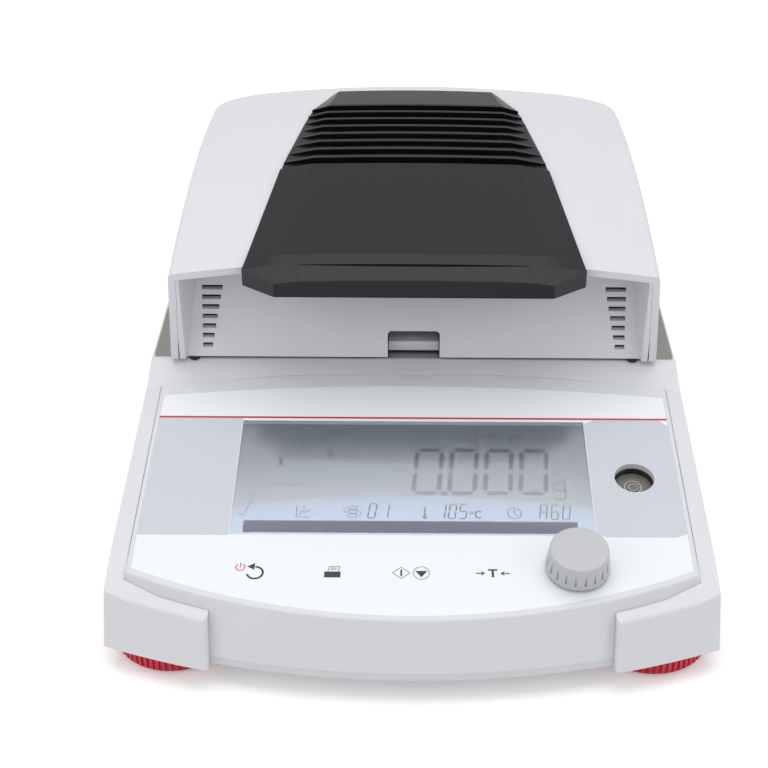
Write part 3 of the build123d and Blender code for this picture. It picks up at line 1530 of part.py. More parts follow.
save("power_supply", make_power_supply())
for side, x in (("left", -front_foot_x), ("right", front_foot_x)):
    save(f"{side}_foot_wheel", Pos(x, front_foot_y, 0) * make_foot_wheel())
    save(f"{side}_foot_stud", Pos(x, front_foot_y, 0) * make_foot_stud())
    save(f"{side}_foot_pad", Pos(x, front_foot_y, 0) * make_foot_pad())
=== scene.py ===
"""Moisture analyzer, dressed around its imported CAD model. All lengths are in metres."""

from math import cos, pi, radians, sin, tan

import bpy
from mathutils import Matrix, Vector


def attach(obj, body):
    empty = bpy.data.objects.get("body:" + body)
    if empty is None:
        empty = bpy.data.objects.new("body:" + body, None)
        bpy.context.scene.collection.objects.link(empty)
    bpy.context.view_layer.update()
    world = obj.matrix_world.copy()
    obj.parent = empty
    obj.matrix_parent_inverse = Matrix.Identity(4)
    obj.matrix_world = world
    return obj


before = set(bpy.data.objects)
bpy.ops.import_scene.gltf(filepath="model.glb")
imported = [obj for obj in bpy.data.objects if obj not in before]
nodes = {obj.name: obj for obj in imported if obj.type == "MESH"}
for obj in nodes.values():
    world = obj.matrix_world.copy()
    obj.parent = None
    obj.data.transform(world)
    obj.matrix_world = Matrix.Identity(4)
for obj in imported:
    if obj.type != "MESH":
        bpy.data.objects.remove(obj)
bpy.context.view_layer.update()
scene = bpy.context.scene
scene.view_settings.view_transform = "Standard"
MM = 0.001

# Camera
# Stands 0.36 m above the bench and half a metre in front of the instrument's middle, looking down
# on the panel. The lens shift moves the instrument right of the picture's middle, as photographed.
lens = bpy.data.cameras.new("camera")
lens.sensor_width = 36.0
lens.lens = 67.97
lens.shift_x = -0.0384
lens.clip_start = 0.01
camera = bpy.data.objects.new("camera", lens)
scene.collection.objects.link(camera)
camera.location = (0.0, -0.5117, 0.3628)
camera.rotation_mode = "ZYX"
camera.rotation_euler = (radians(90.0 - 33.6), 0.0, radians(0.35))
scene.camera = camera


# Bench and light
# A white sheet under and behind the instrument, lit by one broad soft box overhead, a weaker one
# from the front and a white room. The sheet shows as plain white and keeps the soft shadow.
def linear(hex_colour, alpha=1.0):
    """A colour written as sRGB hex, as the linear values that the shaders take."""
    parts = [int(hex_colour[i : i + 2], 16) / 255 for i in (1, 3, 5)]
    return [p / 12.92 if p <= 0.04045 else ((p + 0.055) / 1.055) ** 2.4 for p in parts] + [alpha]


def add(tree, kind, values=None, links=None, **settings):
    """Adds one node with its settings, socket values and incoming links."""
    made = tree.nodes.new(kind)
    for key, value in settings.items():
        setattr(made, key, value)
    for socket, value in (values or {}).items():
        made.inputs[socket].default_value = value
    for socket, source in (links or {}).items():
        tree.links.new(source, made.inputs[socket])
    return made


def empty_material(name):
    made = bpy.data.materials.new(name)
    made.use_nodes = True
    made.node_tree.nodes.clear()
    return made, made.node_tree


def finish_with(tree, shader):
    add(tree, "ShaderNodeOutputMaterial", links={"Surface": shader})


paper, tree = empty_material("matt_white_paper")
seen = add(tree, "ShaderNodeLightPath")
lit = add(tree, "ShaderNodeBsdfDiffuse", {"Color": linear("#F4F4F4")})
glow = add(tree, "ShaderNodeEmission", {"Color": linear("#FFFFFF"), "Strength": 0.24})
shown = add(tree, "ShaderNodeMath",
            links={0: seen.outputs["Is Camera Ray"], 1: seen.outputs["Is Glossy Ray"]}, operation="MAXIMUM")
shown = add(tree, "ShaderNodeMath", links={0: shown.outputs[0], 1: seen.outputs["Is Transmission Ray"]},
            operation="MAXIMUM")
off = add(tree, "ShaderNodeEmission", {"Color": linear("#000000"), "Strength": 0.0})
extra = add(tree, "ShaderNodeMixShader", links={0: shown.outputs[0], 1: off.outputs[0], 2: glow.outputs[0]})
both = add(tree, "ShaderNodeAddShader", links={0: lit.outputs[0], 1: extra.outputs[0]})
finish_with(tree, both.outputs[0])

bench_mesh = bpy.data.meshes.new("bench_paper")
reach = 6.0
bench_mesh.from_pydata([(-reach, -reach, 0), (reach, -reach, 0), (reach, reach, 0), (-reach, reach, 0)], [],
                       [(0, 1, 2, 3)])
bench_mesh.materials.append(paper)
bench = bpy.data.objects.new("bench_paper", bench_mesh)
scene.collection.objects.link(bench)

room = bpy.data.worlds.new("white_room")
room.use_nodes = True
tree = room.node_tree
tree.nodes.clear()
seen = add(tree, "ShaderNodeLightPath")
dim = add(tree, "ShaderNodeBackground", {"Color": linear("#FFFFFF"), "Strength": 0.62})
white = add(tree, "ShaderNodeBackground", {"Color": linear("#FFFFFF"), "Strength": 1.0})
pick = add(tree, "ShaderNodeMixShader", links={0: seen.outputs["Is Camera Ray"], 1: dim.outputs[0],
                                                2: white.outputs[0]})
add(tree, "ShaderNodeOutputWorld", links={"Surface": pick.outputs[0]})
scene.world = room

for name, place, aim, width, depth, power in (
    ("overhead_soft_box", (0.0, 0.15, 1.5), (0.0, 0.0, 0.05), 1.6, 1.2, 11.0),
    ("left_soft_box", (-1.2, -0.7, 0.9), (0.0, 0.0, 0.05), 0.8, 0.8, 3.0),
    ("right_soft_box", (1.2, -0.7, 0.9), (0.0, 0.0, 0.05), 0.8, 0.8, 2.4),
):
    lamp = bpy.data.lights.new(name, "AREA")
    lamp.shape = "RECTANGLE"
    lamp.size = width
    lamp.size_y = depth
    lamp.energy = power
    lamp_holder = bpy.data.objects.new(name, lamp)
    scene.collection.objects.link(lamp_holder)
    lamp_holder.location = place
    lamp_holder.rotation_euler = (Vector(aim) - Vector(place)).to_track_quat("-Z", "Y").to_euler()


# White mouldings
# Housing, panel frame, lid and its front panel are injection moulded ABS, spark eroded to a fine
# satin grain that softens reflections. The grain is about 0.4 mm here so that it shows.
def moulded(name, hex_colour, roughness, grain_mm, grain_depth_mm, tone=0.03, gloss=0.5):
    """Injection moulded plastic with a spark eroded grain and a faint unevenness of tone."""
    made, tree = empty_material(name)
    place = add(tree, "ShaderNodeTexCoord").outputs["Object"]
    cloud = add(tree, "ShaderNodeTexNoise", {"Scale": 1 / (18 * MM), "Detail": 2.0}, {"Vector": place})
    colour = linear(hex_colour)
    darker = [c * (1 - tone) for c in colour[:3]] + [1.0]
    mixed = add(tree, "ShaderNodeMix", {6: colour, 7: darker}, {0: cloud.outputs["Fac"]}, data_type="RGBA")
    grain = add(tree, "ShaderNodeTexNoise", {"Scale": 1 / (grain_mm * MM), "Detail": 1.5}, {"Vector": place})
    bump = add(tree, "ShaderNodeBump", {"Strength": 0.6, "Distance": grain_depth_mm * MM},
               {"Height": grain.outputs["Fac"]})
    rough = add(tree, "ShaderNodeMapRange", {"To Min": roughness - 0.03, "To Max": roughness + 0.04},
                {"Value": grain.outputs["Fac"]})
    shader = add(tree, "ShaderNodeBsdfPrincipled", {"IOR": 1.53, "Specular IOR Level": gloss},
                 {"Base Color": mixed.outputs[2], "Roughness": rough.outputs[0], "Normal": bump.outputs[0]})
    finish_with(tree, shader.outputs[0])
    return made


def dress(material, *names):
    """Gives CAD nodes their finish."""
    for name in names:
        nodes[name].data.materials.clear()
        nodes[name].data.materials.append(material)


def smooth(*names, angle=30.0):
    """Shades curved faces smoothly and keeps real edges sharp."""
    for name in names:
        mesh = nodes[name].data
        mesh.shade_smooth()
        mesh.set_sharp_from_angle(angle=radians(angle))


white_abs = moulded("white_abs_spark_eroded", "#D9DADF", 0.42, 0.4, 0.012)
dress(white_abs, "base_housing", "panel_bezel", "lid_shell", "lid_apron", "lifter_grip")
dress(moulded("white_abs_tray", "#CFD0D5", 0.5, 0.4, 0.015), "bottom_tray")
smooth(*nodes)

# Printed overlay
# A polyester membrane, printed from behind and laminated into its recess: near white, with a
# cool grey band either side of the display, a red line and the key symbols.
slope = radians(8.4)
panel_height = 53.3
film_lift = -0.05  # top of the membrane under the panel's plane, mm


def on_panel(x, y, lift):
    """A place given in millimetres on the sloping panel, lifted square to its face."""
    return Vector((x, y - lift * sin(slope), panel_height + y * tan(slope) + lift * cos(slope))) * MM


def print_on_panel(name, outlines, lift, material):
    """Ink: flat shapes given as lists of (X, Y) in millimetres, laid on the panel."""
    verts, faces = [], []
    for outline in outlines:
        start = len(verts)
        verts += [on_panel(x, y, lift) for x, y in outline]
        faces.append(list(range(start, len(verts))))
    mesh = bpy.data.meshes.new(name)
    mesh.from_pydata(verts, [], faces)
    mesh.update()
    for face in mesh.polygons:
        if face.normal.z < 0:
            face.flip()
    mesh.materials.append(material)
    piece = bpy.data.objects.new(name, mesh)
    scene.collection.objects.link(piece)
    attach(piece, "base")
    return piece


def film(name, hex_colour, roughness=0.34):
    """Polyester film or ink under it: smooth, with a faint orange peel."""
    made, tree = empty_material(name)
    place = add(tree, "ShaderNodeTexCoord").outputs["Object"]
    peel = add(tree, "ShaderNodeTexNoise", {"Scale": 1 / (1.2 * MM), "Detail": 1.0}, {"Vector": place})
    bump = add(tree, "ShaderNodeBump", {"Strength": 0.25, "Distance": 0.01 * MM},
               {"Height": peel.outputs["Fac"]})
    shader = add(tree, "ShaderNodeBsdfPrincipled",
                 {"Base Color": linear(hex_colour), "Roughness": roughness, "IOR": 1.57},
                 {"Normal": bump.outputs[0]})
    finish_with(tree, shader.outputs[0])
    return made


def ring(x, y, radius, width, steps=40, start=0.0, turn=360.0, squash=1.0):
    """A closed or open band of constant width, as short quads."""
    shapes = []
    for i in range(steps):
        a = radians(start + turn * i / steps)
        b = radians(start + turn * (i + 1) / steps)
        shapes.append([(x + r * cos(t), y + r * sin(t) * squash) for r, t in
                       ((radius, a), (radius + width, a), (radius + width, b), (radius, b))])
    return shapes


def stroke(points, width):
    """A bent line of constant width."""
    shapes = []
    for (x0, y0), (x1, y1) in zip(points, points[1:]):
        run = Vector((x1 - x0, y1 - y0))
        side = Vector((-run.y, run.x)).normalized() * (width / 2)
        shapes.append([(x0 - side.x, y0 - side.y), (x1 - side.x, y1 - side.y), (x1 + side.x, y1 + side.y),
                       (x0 + side.x, y0 + side.y)])
    return shapes


def block(x0, y0, x1, y1):
    return [[(x0, y0), (x1, y0), (x1, y1), (x0, y1)]]


dress(film("white_polyester_film", "#E9ECF1"), "panel_overlay")
ink_lift = film_lift + 0.03
band_grey = film("cool_grey_ink", "#C6CAD2")
band_top, band_foot, band_half = -57.4, -116.5, 96.9
print_on_panel("grey_band_left", block(-band_half, band_foot, -65.0, band_top), ink_lift, band_grey)
level_x, level_y, level_radius = 81.2, -87.6, 7.35
right_band = []
steps = 48
for i in range(steps):
    corners = []
    for k in (i, i + 1):
        a = 2 * pi * k / steps - pi
        dx, dy = cos(a), sin(a)
        reach_x = (band_half - level_x) if dx > 0 else (level_x - 65.0)
        reach_y = (band_top - level_y) if dy > 0 else (level_y - band_foot)
        scale = min(reach_x / max(abs(dx), 1e-6), reach_y / max(abs(dy), 1e-6))
        corners.append(((level_x + level_radius * dx, level_y + level_radius * dy),
                        (level_x + scale * dx, level_y + scale * dy)))
    right_band.append([corners[0][0], corners[0][1], corners[1][1], corners[1][0]])
print_on_panel("grey_band_right", right_band, ink_lift, band_grey)
red_ink = film("red_ink", "#C2323C")
print_on_panel("red_line", block(-97.0, -57.3, 97.0, -56.3), ink_lift + 0.01, red_ink)

black_ink = film("black_ink", "#16171A")
grey_ink = film("grey_ink", "#7C7F86")
symbol_lift = ink_lift + 0.01
keys_y = -133.3
back_arrow = ring(-54.0, keys_y - 0.3, 2.35, 0.75, 30, -165, 255, 0.95)
back_arrow += [[(-56.9, keys_y + 2.45), (-54.2, keys_y + 4.0), (-54.3, keys_y + 1.0)]]
print_on_panel("key_back", back_arrow, symbol_lift, black_ink)
power = ring(-59.2, -131.1, 1.35, 0.42, 26, 125, 290) + block(-59.42, -131.2, -58.98, -129.2)
print_on_panel("key_power", power, symbol_lift, film("pink_ink", "#CF5A66"))
printer = block(-30.2, keys_y - 2.2, -24.6, keys_y + 0.4)
print_on_panel("key_printer", printer, symbol_lift, black_ink)
sheet = stroke([(-29.0, keys_y + 0.5), (-28.4, keys_y + 2.6), (-24.9, keys_y + 2.6), (-25.5, keys_y + 0.5)],
               0.3)
sheet += stroke([(-28.0, keys_y + 1.9), (-25.8, keys_y + 1.9)], 0.3)
sheet += stroke([(-28.2, keys_y + 1.2), (-26.0, keys_y + 1.2)], 0.3)
print_on_panel("key_printer_sheet", sheet, symbol_lift, grey_ink)
diamond = stroke([(-6.8, keys_y), (-3.8, keys_y + 2.5), (-0.8, keys_y), (-3.8, keys_y - 2.5), (-6.8, keys_y)],
                 0.28)
stop = ring(3.1, keys_y, 2.6, 0.28, 40)
print_on_panel("key_frames", diamond + stop, symbol_lift, grey_ink)
start_stop = block(-4.1, keys_y - 1.5, -3.5, keys_y + 1.5)
start_stop += [[(1.0, keys_y + 0.9), (3.1, keys_y - 1.9), (5.2, keys_y + 0.9)]]
print_on_panel("key_start_stop", start_stop, symbol_lift, black_ink)
tare = block(26.0, keys_y + 1.2, 29.2, keys_y + 1.9) + block(27.2, keys_y - 1.7, 28.0, keys_y + 1.3)
for side in (-1, 1):
    tip = 27.6 + side * 2.6
    tare += stroke([(tip + side * 3.2, keys_y), (tip + side * 0.3, keys_y)], 0.42)
    tare += [[(tip, keys_y), (tip + side * 1.6, keys_y + 1.1), (tip + side * 0.9, keys_y),
              (tip + side * 1.6, keys_y - 1.1)]]
print_on_panel("key_tare", tare, symbol_lift, black_ink)

# Display
# A backlit transmissive liquid crystal glass behind the membrane's clear window. Its pale blue
# light falls off a little towards the edges, and the segments are dark navy.
backlight, tree = empty_material("lcd_glass_backlit")
place = add(tree, "ShaderNodeTexCoord").outputs["Object"]
split = add(tree, "ShaderNodeSeparateXYZ", links={"Vector": place})
fall = add(tree, "ShaderNodeMapRange", {"From Min": -0.116, "From Max": -0.058},
           {"Value": split.outputs["Y"]})
tint = add(tree, "ShaderNodeValToRGB", links={"Fac": fall.outputs[0]})
tint.color_ramp.elements[0].color = linear("#D0E2FC")
tint.color_ramp.elements[1].color = linear("#DAE8FC")
shader = add(tree, "ShaderNodeBsdfPrincipled",
             {"Base Color": linear("#2E343E"), "Roughness": 0.25, "Emission Strength": 0.9,
              "Specular IOR Level": 0.2},
             {"Emission Color": tint.outputs[0]})
finish_with(tree, shader.outputs[0])
dress(backlight, "lcd_module")

clear_film, tree = empty_material("clear_window_film")
gloss = add(tree, "ShaderNodeBsdfGlossy", {"Color": linear("#FFFFFF"), "Roughness": 0.12})
through = add(tree, "ShaderNodeBsdfTransparent", {"Color": linear("#FCFDFE")})
edge = add(tree, "ShaderNodeFresnel", {"IOR": 1.45})
mixed = add(tree, "ShaderNodeMixShader",
            links={0: edge.outputs[0], 1: through.outputs[0], 2: gloss.outputs[0]})
finish_with(tree, mixed.outputs[0])
dress(clear_film, "display_window")


def seven_segment(text, x, y, width, height, bar, slant, gap):
    """Slanted seven segment figures: x and y are the foot of the first, in panel millimetres."""
    lit = {"0": "abcdef", "1": "bc", "2": "abged", "3": "abgcd", "4": "fgbc", "5": "afgcd", "6": "afgedc",
           "7": "abc", "8": "abcdefg", "9": "abcdfg", "A": "abcefg", "-": "g"}
    w, h, t, e = width, height, bar, bar * 0.12
    half = h / 2

    def flat(v):
        return [(t * 0.6 + e, v), (t * 1.1 + e, v + t / 2), (w - t * 1.1 - e, v + t / 2),
                (w - t * 0.6 - e, v), (w - t * 1.1 - e, v - t / 2), (t * 1.1 + e, v - t / 2)]

    def tall(u, v):
        return [(u, v + t * 0.6 + e), (u + t / 2, v + t * 1.1 + e), (u + t / 2, v + half - t * 1.1 - e),
                (u, v + half - t * 0.6 - e), (u - t / 2, v + half - t * 1.1 - e),
                (u - t / 2, v + t * 1.1 + e)]

    shape = {"a": flat(h - t / 2), "g": flat(half), "d": flat(t / 2), "f": tall(t / 2, half - 0.25 * t),
             "b": tall(w - t / 2, half - 0.25 * t), "e": tall(t / 2, 0.25 * t),
             "c": tall(w - t / 2, 0.25 * t)}
    shapes = []
    for letter in text:
        if letter == ".":
            shapes.append([(x - gap / 2 + 0.65 * t * cos(a) + slant * t / 2, y + t / 2 + 0.65 * t * sin(a))
                           for a in [2 * pi * k / 12 for k in range(12)]])
            continue
        if letter == ":":
            for v in (0.3, 0.7):
                shapes += block(x + slant * h * v, y + h * v, x + slant * h * v + t, y + h * v + t)
            x += gap + t
            continue
        for part in lit.get(letter, ""):
            shapes.append([(x + u + slant * v, y + v) for u, v in shape[part]])
        x += width + gap
    return shapes


def thin_letter(kind, x, y, width, height, bar):
    """The unit signs that are drawn with plain strokes."""
    if kind == "g":
        shapes = ring(x + width / 2, y + height * 0.62, width / 2 - bar, bar, 28)
        shapes += block(x + width - bar, y + height * 0.12, x + width, y + height)
        return shapes + ring(x + width / 2, y + height * 0.16, width / 2 - bar, bar, 14, 195, 165)
    if kind == "C":
        return ring(x + width / 2, y + height / 2, width / 2 - bar, bar, 24, 45, 270, height / width)
    return ring(x + width / 2, y + height / 2, width / 2 - bar, bar, 18)


def segment_dye(name, hex_colour, roughness=0.5, gloss=0.1):
    """Dark dye between the display's glasses, nearly without a gloss of its own."""
    made, tree = empty_material(name)
    shader = add(tree, "ShaderNodeBsdfPrincipled",
                 {"Base Color": linear(hex_colour), "Roughness": roughness, "Specular IOR Level": gloss})
    finish_with(tree, shader.outputs[0])
    return made


navy = segment_dye("lcd_segment_navy", "#12154C")
slate = segment_dye("lcd_segment_slate", "#262B44")
bar_ink = segment_dye("lcd_message_bar", "#2A2A62")

segment_lift = -0.55
top_row_y, bottom_row_y = -67.9, -107.9
result = seven_segment("0.000", -0.7, -95.4, 10.9, 23.6, 1.75, 0.07, 2.1)
print_on_panel("lcd_result", result, segment_lift, navy)
unit_sign = thin_letter("g", 51.2, -97.2, 4.6, 9.6, 0.62)
print_on_panel("lcd_unit", unit_sign, segment_lift, slate)
small = seven_segment("03-01-24", 19.9, top_row_y, 1.95, 4.7, 0.42, 0.12, 0.75)
small += seven_segment("10:10", 45.6, top_row_y, 1.7, 4.7, 0.3, 0.12, 0.75)
small += seven_segment("1", -22.6, -67.6, 1.9, 4.3, 0.36, 0.12, 0.7)
small += seven_segment("01", -16.4, bottom_row_y, 3.0, 7.4, 0.5, 0.12, 1.6)
small += seven_segment("105", 8.6, bottom_row_y, 2.9, 7.4, 0.5, 0.12, 0.9)
small += thin_letter("o", 20.2, -105.6, 1.5, 1.6, 0.3) + thin_letter("C", 22.2, -107.6, 2.8, 3.8, 0.45)
small += seven_segment("A60", 45.0, bottom_row_y, 2.9, 7.4, 0.45, 0.12, 1.2)
print_on_panel("lcd_figures", small, segment_lift, slate)
pan_sign = stroke([(-58.2, -69.6), (-56.4, -75.2), (-42.0, -75.2), (-39.9, -69.6)], 0.3)
pan_sign += stroke([(-55.2, -76.8), (-43.4, -76.8)], 0.35)
print_on_panel("lcd_pan_sign", pan_sign, segment_lift, slate)
print_on_panel("lcd_pan_stem", block(-50.0, -81.0, -48.2, -76.9), segment_lift, navy)
star = []
for k in range(3):
    a = radians(90 + 60 * k)
    dx, dy = 1.5 * cos(a), 2.3 * sin(a)
    star += stroke([(-31.0 - dx, -74.8 - dy), (-31.0 + dx, -74.8 + dy)], 0.36)
print_on_panel("lcd_star", star, segment_lift, slate)
curve_dashes = (((-62.4, -106.2), (-60.2, -106.2)), ((-60.0, -105.2), (-58.9, -100.6)),
                ((-58.7, -99.8), (-57.7, -96.0)), ((-57.0, -95.0), (-54.2, -93.2)),
                ((-53.6, -92.8), (-50.4, -91.4)), ((-49.8, -91.0), (-45.4, -90.9)),
                ((-44.4, -90.9), (-41.0, -90.9)), ((-39.9, -90.9), (-37.6, -90.9)))
dashes = [shape for ends in curve_dashes for shape in stroke(ends, 0.4)]
print_on_panel("lcd_curve", dashes, segment_lift, slate)
graph = stroke([(-41.6, -102.2), (-41.6, -107.4), (-36.6, -107.4)], 0.28)
graph += stroke([(-41.0, -106.2), (-39.4, -104.6), (-38.4, -105.2), (-36.8, -103.6)], 0.34)
graph += stroke([(-39.0, -101.8), (-39.0, -103.6)], 0.34)
person = ring(8.0, -64.2, 0.85, 0.24, 22, squash=1.2) + ring(8.0, -68.9, 2.2, 0.26, 20, 25, 130)
coil = []
for k in range(3):
    turn_y = -102.8 - 1.9 * k
    coil += ring(-22.4, turn_y, 0.62, 0.26, 16, 90, 180) + ring(-20.6, turn_y, 0.62, 0.26, 16, -90, 180)
    coil += stroke([(-22.4, -102.05 - 1.9 * k), (-20.6, -102.05 - 1.9 * k)], 0.26)
    coil += stroke([(-22.4, -103.55 - 1.9 * k), (-20.6, -103.55 - 1.9 * k)], 0.26)
coil += ring(-23.6, -104.0, 0.9, 0.24, 14, 90, 180) + ring(-19.4, -105.4, 0.9, 0.24, 14, -90, 180)
clock = ring(36.4, -105.0, 2.25, 0.28, 30, squash=1.1)
clock += stroke([(36.4, -103.2), (36.4, -105.2), (37.6, -106.4)], 0.32)
print_on_panel("lcd_symbols", graph + person + coil + clock, segment_lift, slate)
bulb = block(4.0, -106.4, 4.7, -102.2) + ring(4.35, -107.0, 0.0, 0.95, 16)
print_on_panel("lcd_thermometer", bulb, segment_lift, grey_ink)
faint = segment_dye("lcd_segment_faint", "#A9B4CC", 0.4, 0.5)
box_sign = stroke([(-32.4, -62.6), (-28.4, -62.6), (-28.4, -67.6), (-32.4, -67.6), (-32.4, -62.6)], 0.3)
box_sign += stroke([(-31.6, -63.8), (-29.4, -63.8)], 0.4) + stroke([(-30.0, -65.2), (-30.0, -66.9)], 0.4)
print_on_panel("lcd_box_sign", box_sign, segment_lift, faint)
print_on_panel("lcd_message_bar", block(-60.1, -114.7, 58.6, -109.0), segment_lift, bar_ink)

# Spirit level
# A dark cup under the panel holds a round acrylic vial with a printed ring and an air bubble; the bubble
# shows only as a pale ring of painted highlight at its rim, in the printed ring's pale colour.
dark_cup = moulded("black_abs_cup", "#2B2B2D", 0.25, 0.5, 0.005)
dress(dark_cup, "level_cup")
vial, tree = empty_material("level_vial_acrylic")
shader = add(tree, "ShaderNodeBsdfPrincipled",
             {"Base Color": linear("#77736F"), "Roughness": 0.12, "Coat Weight": 0.6, "Coat Roughness": 0.05})
finish_with(tree, shader.outputs[0])
dress(vial, "level_vial")
ring_ink_and_bubble_highlight = film("level_ring_ink_and_bubble_highlight", "#C9C6C0", 0.3)
vial_top = -9.0 + 4.0 + 0.02
print_on_panel("level_ring", ring(level_x, level_y, 2.9, 0.28, 40), vial_top, ring_ink_and_bubble_highlight)
# Painted highlight: a pale ring in place of the light caught at the bubble's rim.
bubble = ring(level_x + 0.2, level_y + 0.1, 1.75, 0.2, 32)
print_on_panel("level_bubble_painted_highlight", bubble, vial_top, ring_ink_and_bubble_highlight)

# Knob
# Turned cap of silver lacquered plastic, satin all over, with a brighter edge around its top.
lacquer = moulded("silver_lacquered_plastic", "#BDBFC2", 0.38, 0.5, 0.006)
dress(lacquer, "knob")

# Deck and weighing chamber
# Stainless sheet, brushed across its width. The pan is bright foil aluminium; the well, its ring,
# the lifter and the pan's cross are pressed steel.
def brushed(name, hex_colour, roughness, along, grain_mm=0.25):
    """Brushed sheet: fine streaks along one axis that vary its gloss and height."""
    made, tree = empty_material(name)
    place = add(tree, "ShaderNodeTexCoord").outputs["Object"]
    stretch = [1 / (grain_mm * MM)] * 3
    stretch["XYZ".index(along)] = 1 / (40 * MM)
    scaled = add(tree, "ShaderNodeMapping", {"Scale": stretch}, {"Vector": place})
    streak = add(tree, "ShaderNodeTexNoise", {"Scale": 1.0, "Detail": 3.0}, {"Vector": scaled.outputs[0]})
    rough = add(tree, "ShaderNodeMapRange", {"To Min": roughness - 0.08, "To Max": roughness + 0.1},
                {"Value": streak.outputs["Fac"]})
    bump = add(tree, "ShaderNodeBump", {"Strength": 0.35, "Distance": 0.02 * MM},
               {"Height": streak.outputs["Fac"]})
    shader = add(tree, "ShaderNodeBsdfPrincipled", {"Base Color": linear(hex_colour), "Metallic": 1.0},
                 {"Roughness": rough.outputs[0], "Normal": bump.outputs[0]})
    finish_with(tree, shader.outputs[0])
    return made


dress(brushed("brushed_stainless_deck", "#A9A6A2", 0.34, "X"), "deck_plate")
dress(brushed("pressed_stainless", "#BDBBB8", 0.28, "X"), "chamber_well", "draft_shield", "pan_lifter",
      "pan_support")
dress(brushed("aluminium_foil_pan", "#D6D7D8", 0.3, "Y"), "sample_pan")
dress(brushed("machined_aluminium", "#BFC0C2", 0.36, "Y"), "weighing_cell", "cell_plate")
dress(brushed("zinc_plated_steel", "#A8AAAD", 0.4, "X"), "cell_stem", "tray_screws", "glass_clips",
      "temperature_sensor", "hinge_brackets", "hinge_pins", "hinge_arms", "encoder_plunger", "encoder_shaft",
      "serial_port", "usb_port", "left_foot_stud", "right_foot_stud")

# Vent cover
# Black glass filled nylon, moulded with a slightly coarser grain than the lid, so it has a broad
# soft sheen over its crowned top.
dress(moulded("black_nylon_cover", "#17191D", 0.36, 0.5, 0.012, gloss=0.3), "vent_cover", "vent_baffle")

# Heater
# Bright aluminium liner and spun reflector, a clear glass disc, a quartz ring lamp with its
# tungsten wire, and ceramic holders.
dress(brushed("bright_aluminium_liner", "#D2D3D5", 0.3, "X"), "lid_liner")
dress(brushed("spun_aluminium_reflector", "#E2E3E4", 0.16, "Y"), "reflector")
for name, hex_colour, roughness, node in (("clear_soda_glass", "#EEF5F2", 0.02, "protective_glass"),
                                          ("quartz_tube", "#F6F4EE", 0.03, "halogen_lamp")):
    made, tree = empty_material(name)
    shader = add(tree, "ShaderNodeBsdfPrincipled",
                 {"Base Color": linear(hex_colour), "Roughness": roughness, "IOR": 1.5,
                  "Transmission Weight": 1.0})
    finish_with(tree, shader.outputs[0])
    dress(made, node)
dress(moulded("steatite_ceramic", "#D8D2C4", 0.7, 0.4, 0.02), "lamp_holders")

# Boards
# Glass epoxy circuit boards under green solder mask, with black moulded switches.
dress(moulded("green_solder_mask", "#14492F", 0.35, 0.8, 0.01), "main_board", "power_supply")
dress(moulded("black_nylon_parts", "#1B1C1E", 0.42, 0.5, 0.01), "key_switches", "encoder_body", "power_inlet",
      "fuse_drawer")

# Feet
# Levelling wheels moulded in red ABS with a scalloped rim, on black rubber pads, and two fixed
# rubber feet at the rear. Brass inserts in the tray take the studs.
dress(moulded("red_abs_wheel", "#C2102F", 0.38, 0.5, 0.01), "left_foot_wheel", "right_foot_wheel")
dress(moulded("black_rubber", "#1A1A1A", 0.75, 0.6, 0.03), "left_foot_pad", "right_foot_pad", "rear_feet",
      "lid_bumpers")
dress(brushed("turned_brass", "#B58E4A", 0.3, "Z"), "foot_nuts", "inlet_pins")


# Small fittings
# Turned and moulded details that the CAD parts leave plain: the contacts and insulators of the
# rear connectors, screw heads with their cross recess drawn as thin dark blocks of painted shade
# rather than cut, and the lamp's tungsten coil.
def fitting(name, parts, material, body):
    """One piece made of blocks ("box", low, high) and rods ("rod", foot, axis, length, radius), in mm."""
    verts, faces = [], []
    for part in parts:
        start = len(verts)
        if part[0] == "box":
            low, high = part[1:]
            verts += [Vector((x, y, z)) * MM for x in (low[0], high[0]) for y in (low[1], high[1])
                      for z in (low[2], high[2])]
            sides = ((0, 1, 3, 2), (4, 6, 7, 5), (0, 4, 5, 1), (2, 3, 7, 6), (0, 2, 6, 4), (1, 5, 7, 3))
            faces += [tuple(start + i for i in side) for side in sides]
            continue
        foot, axis, length, radius = part[1:]
        turn = Vector(axis).to_track_quat("Z", "Y")
        steps = 20
        rim = min(0.2, radius / 3)
        around = [2 * pi * i / steps for i in range(steps)]
        for up, r in ((0.0, radius), (length - rim, radius), (length, radius - rim)):
            verts += [(Vector(foot) + turn @ Vector((r * cos(a), r * sin(a), up))) * MM for a in around]
        for level in (start, start + steps):
            faces += [(level + i, level + (i + 1) % steps, level + steps + (i + 1) % steps, level + steps + i)
                      for i in range(steps)]
        faces.append(tuple(start + 2 * steps + i for i in range(steps)))
        faces.append(tuple(start + steps - 1 - i for i in range(steps)))
    mesh = bpy.data.meshes.new(name)
    mesh.from_pydata(verts, [], faces)
    mesh.update()
    mesh.materials.append(material)
    mesh.shade_smooth()
    mesh.set_sharp_from_angle(angle=radians(25.0))
    piece = bpy.data.objects.new(name, mesh)
    scene.collection.objects.link(piece)
    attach(piece, body)
    return piece


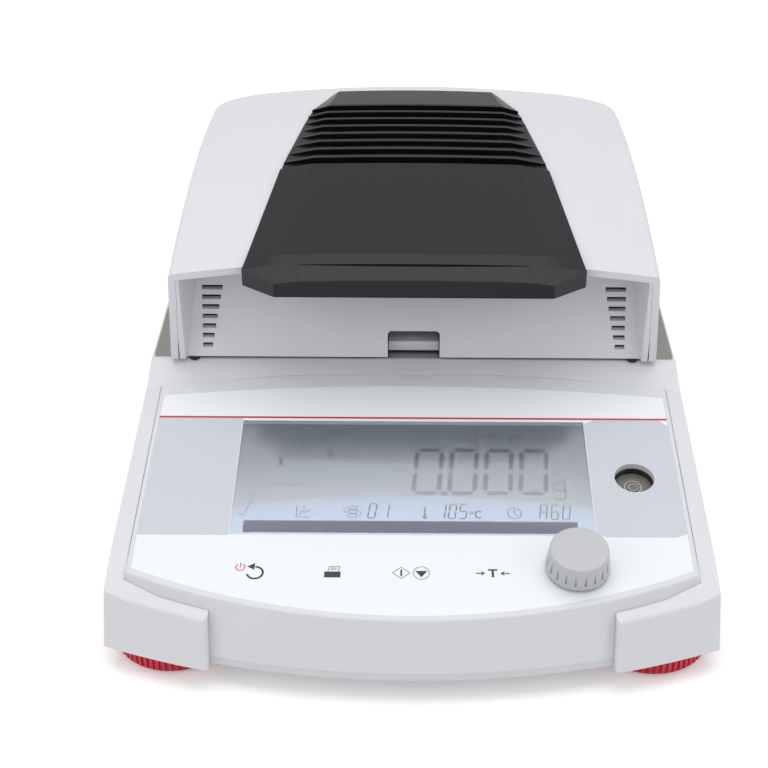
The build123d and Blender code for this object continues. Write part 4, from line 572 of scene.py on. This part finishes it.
insulator = moulded("black_pbt_insulator", "#141517", 0.4, 0.4, 0.005)
gold = brushed("gold_plated_contact", "#C9A24E", 0.25, "Y", 0.6)
# Near black painted shade, standing in for the hollow of each screw's cross recess, which is not cut.
recess_painted_shade = moulded("driven_recess_painted_shade", "#1E1F21", 0.6, 0.4, 0.004)
screw_steel = brushed("zinc_plated_screw", "#B4B6B9", 0.32, "X", 0.6)
port_floor_y, port_z = 150.8, 27.0
serial_x, usb_x = 10.0, 52.0
insulator_block = ("box", (serial_x - 13.6, port_floor_y, port_z - 4.4),
                   (serial_x + 13.6, 151.2, port_z + 4.4))
fitting("serial_insulator", [insulator_block], insulator, "base")
pins = [("rod", (serial_x + dx, 151.0, port_z + dz), (0, 1, 0), 4.4, 0.5) for dz, xs in
        ((1.42, (-5.54, -2.77, 0.0, 2.77, 5.54)), (-1.42, (-4.155, -1.385, 1.385, 4.155))) for dx in xs]
fitting("serial_pins", pins, gold, "base")
tongue_block = ("box", (usb_x - 2.9, port_floor_y, port_z - 1.6), (usb_x + 2.9, 155.6, port_z + 1.6))
fitting("usb_tongue", [tongue_block], insulator, "base")
usb_strips = [("box", (usb_x + dx - 0.6, 151.2, port_z + dz - 0.12),
               (usb_x + dx + 0.6, 155.2, port_z + dz + 0.12)) for dz in (-1.6, 1.6) for dx in (-1.4, 1.4)]
fitting("usb_contacts", usb_strips, gold, "base")
tray_screw_spots = [(side * x, y) for side in (-1, 1) for x, y in ((40.0, -146.0), (90.0, 148.0))]


def cross_recess(spots, arm, half_width, low, high):
    """The two crossed slots of each screw's driven recess, as thin blocks that carry its painted shade."""
    slots = []
    for x, y in spots:
        slots += [("box", (x - arm, y - half_width, low), (x + arm, y + half_width, high)),
                  ("box", (x - half_width, y - arm, low), (x + half_width, y + arm, high))]
    return slots


# Thin dark crosses on the tray screw heads: painted shade in place of their recesses.
crosses = cross_recess(tray_screw_spots, 1.7, 0.35, 8.985, 9.02)
fitting("tray_screw_recess_painted_shade", crosses, recess_painted_shade, "base")
hinge_screw_spots = [(-60.0, 125.2), (60.0, 125.2)]
fitting("hinge_screws", [("rod", (x, y, 53.4), (0, 0, 1), 1.3, 2.1) for x, y in hinge_screw_spots],
        screw_steel, "base")
# The same crosses of painted shade on the hinge screw heads.
crosses = cross_recess(hinge_screw_spots, 1.3, 0.28, 54.68, 54.72)
fitting("hinge_screw_recess_painted_shade", crosses, recess_painted_shade, "base")
coil = []
lamp_centre, lamp_z, lamp_ring = 52.0, 76.7, 33.0
for k in range(56):
    a, b = (radians(104 + 332 * (k + i) / 56) for i in (0, 1))
    run = Vector((cos(b) - cos(a), sin(b) - sin(a), 0)) * lamp_ring
    foot = (lamp_ring * cos(a), lamp_centre + lamp_ring * sin(a), lamp_z)
    coil.append(("rod", foot, run, run.length + 0.2, 0.7))
fitting("lamp_coil", coil, brushed("tungsten_coil", "#8D8A86", 0.4, "Z", 0.3), "lid")
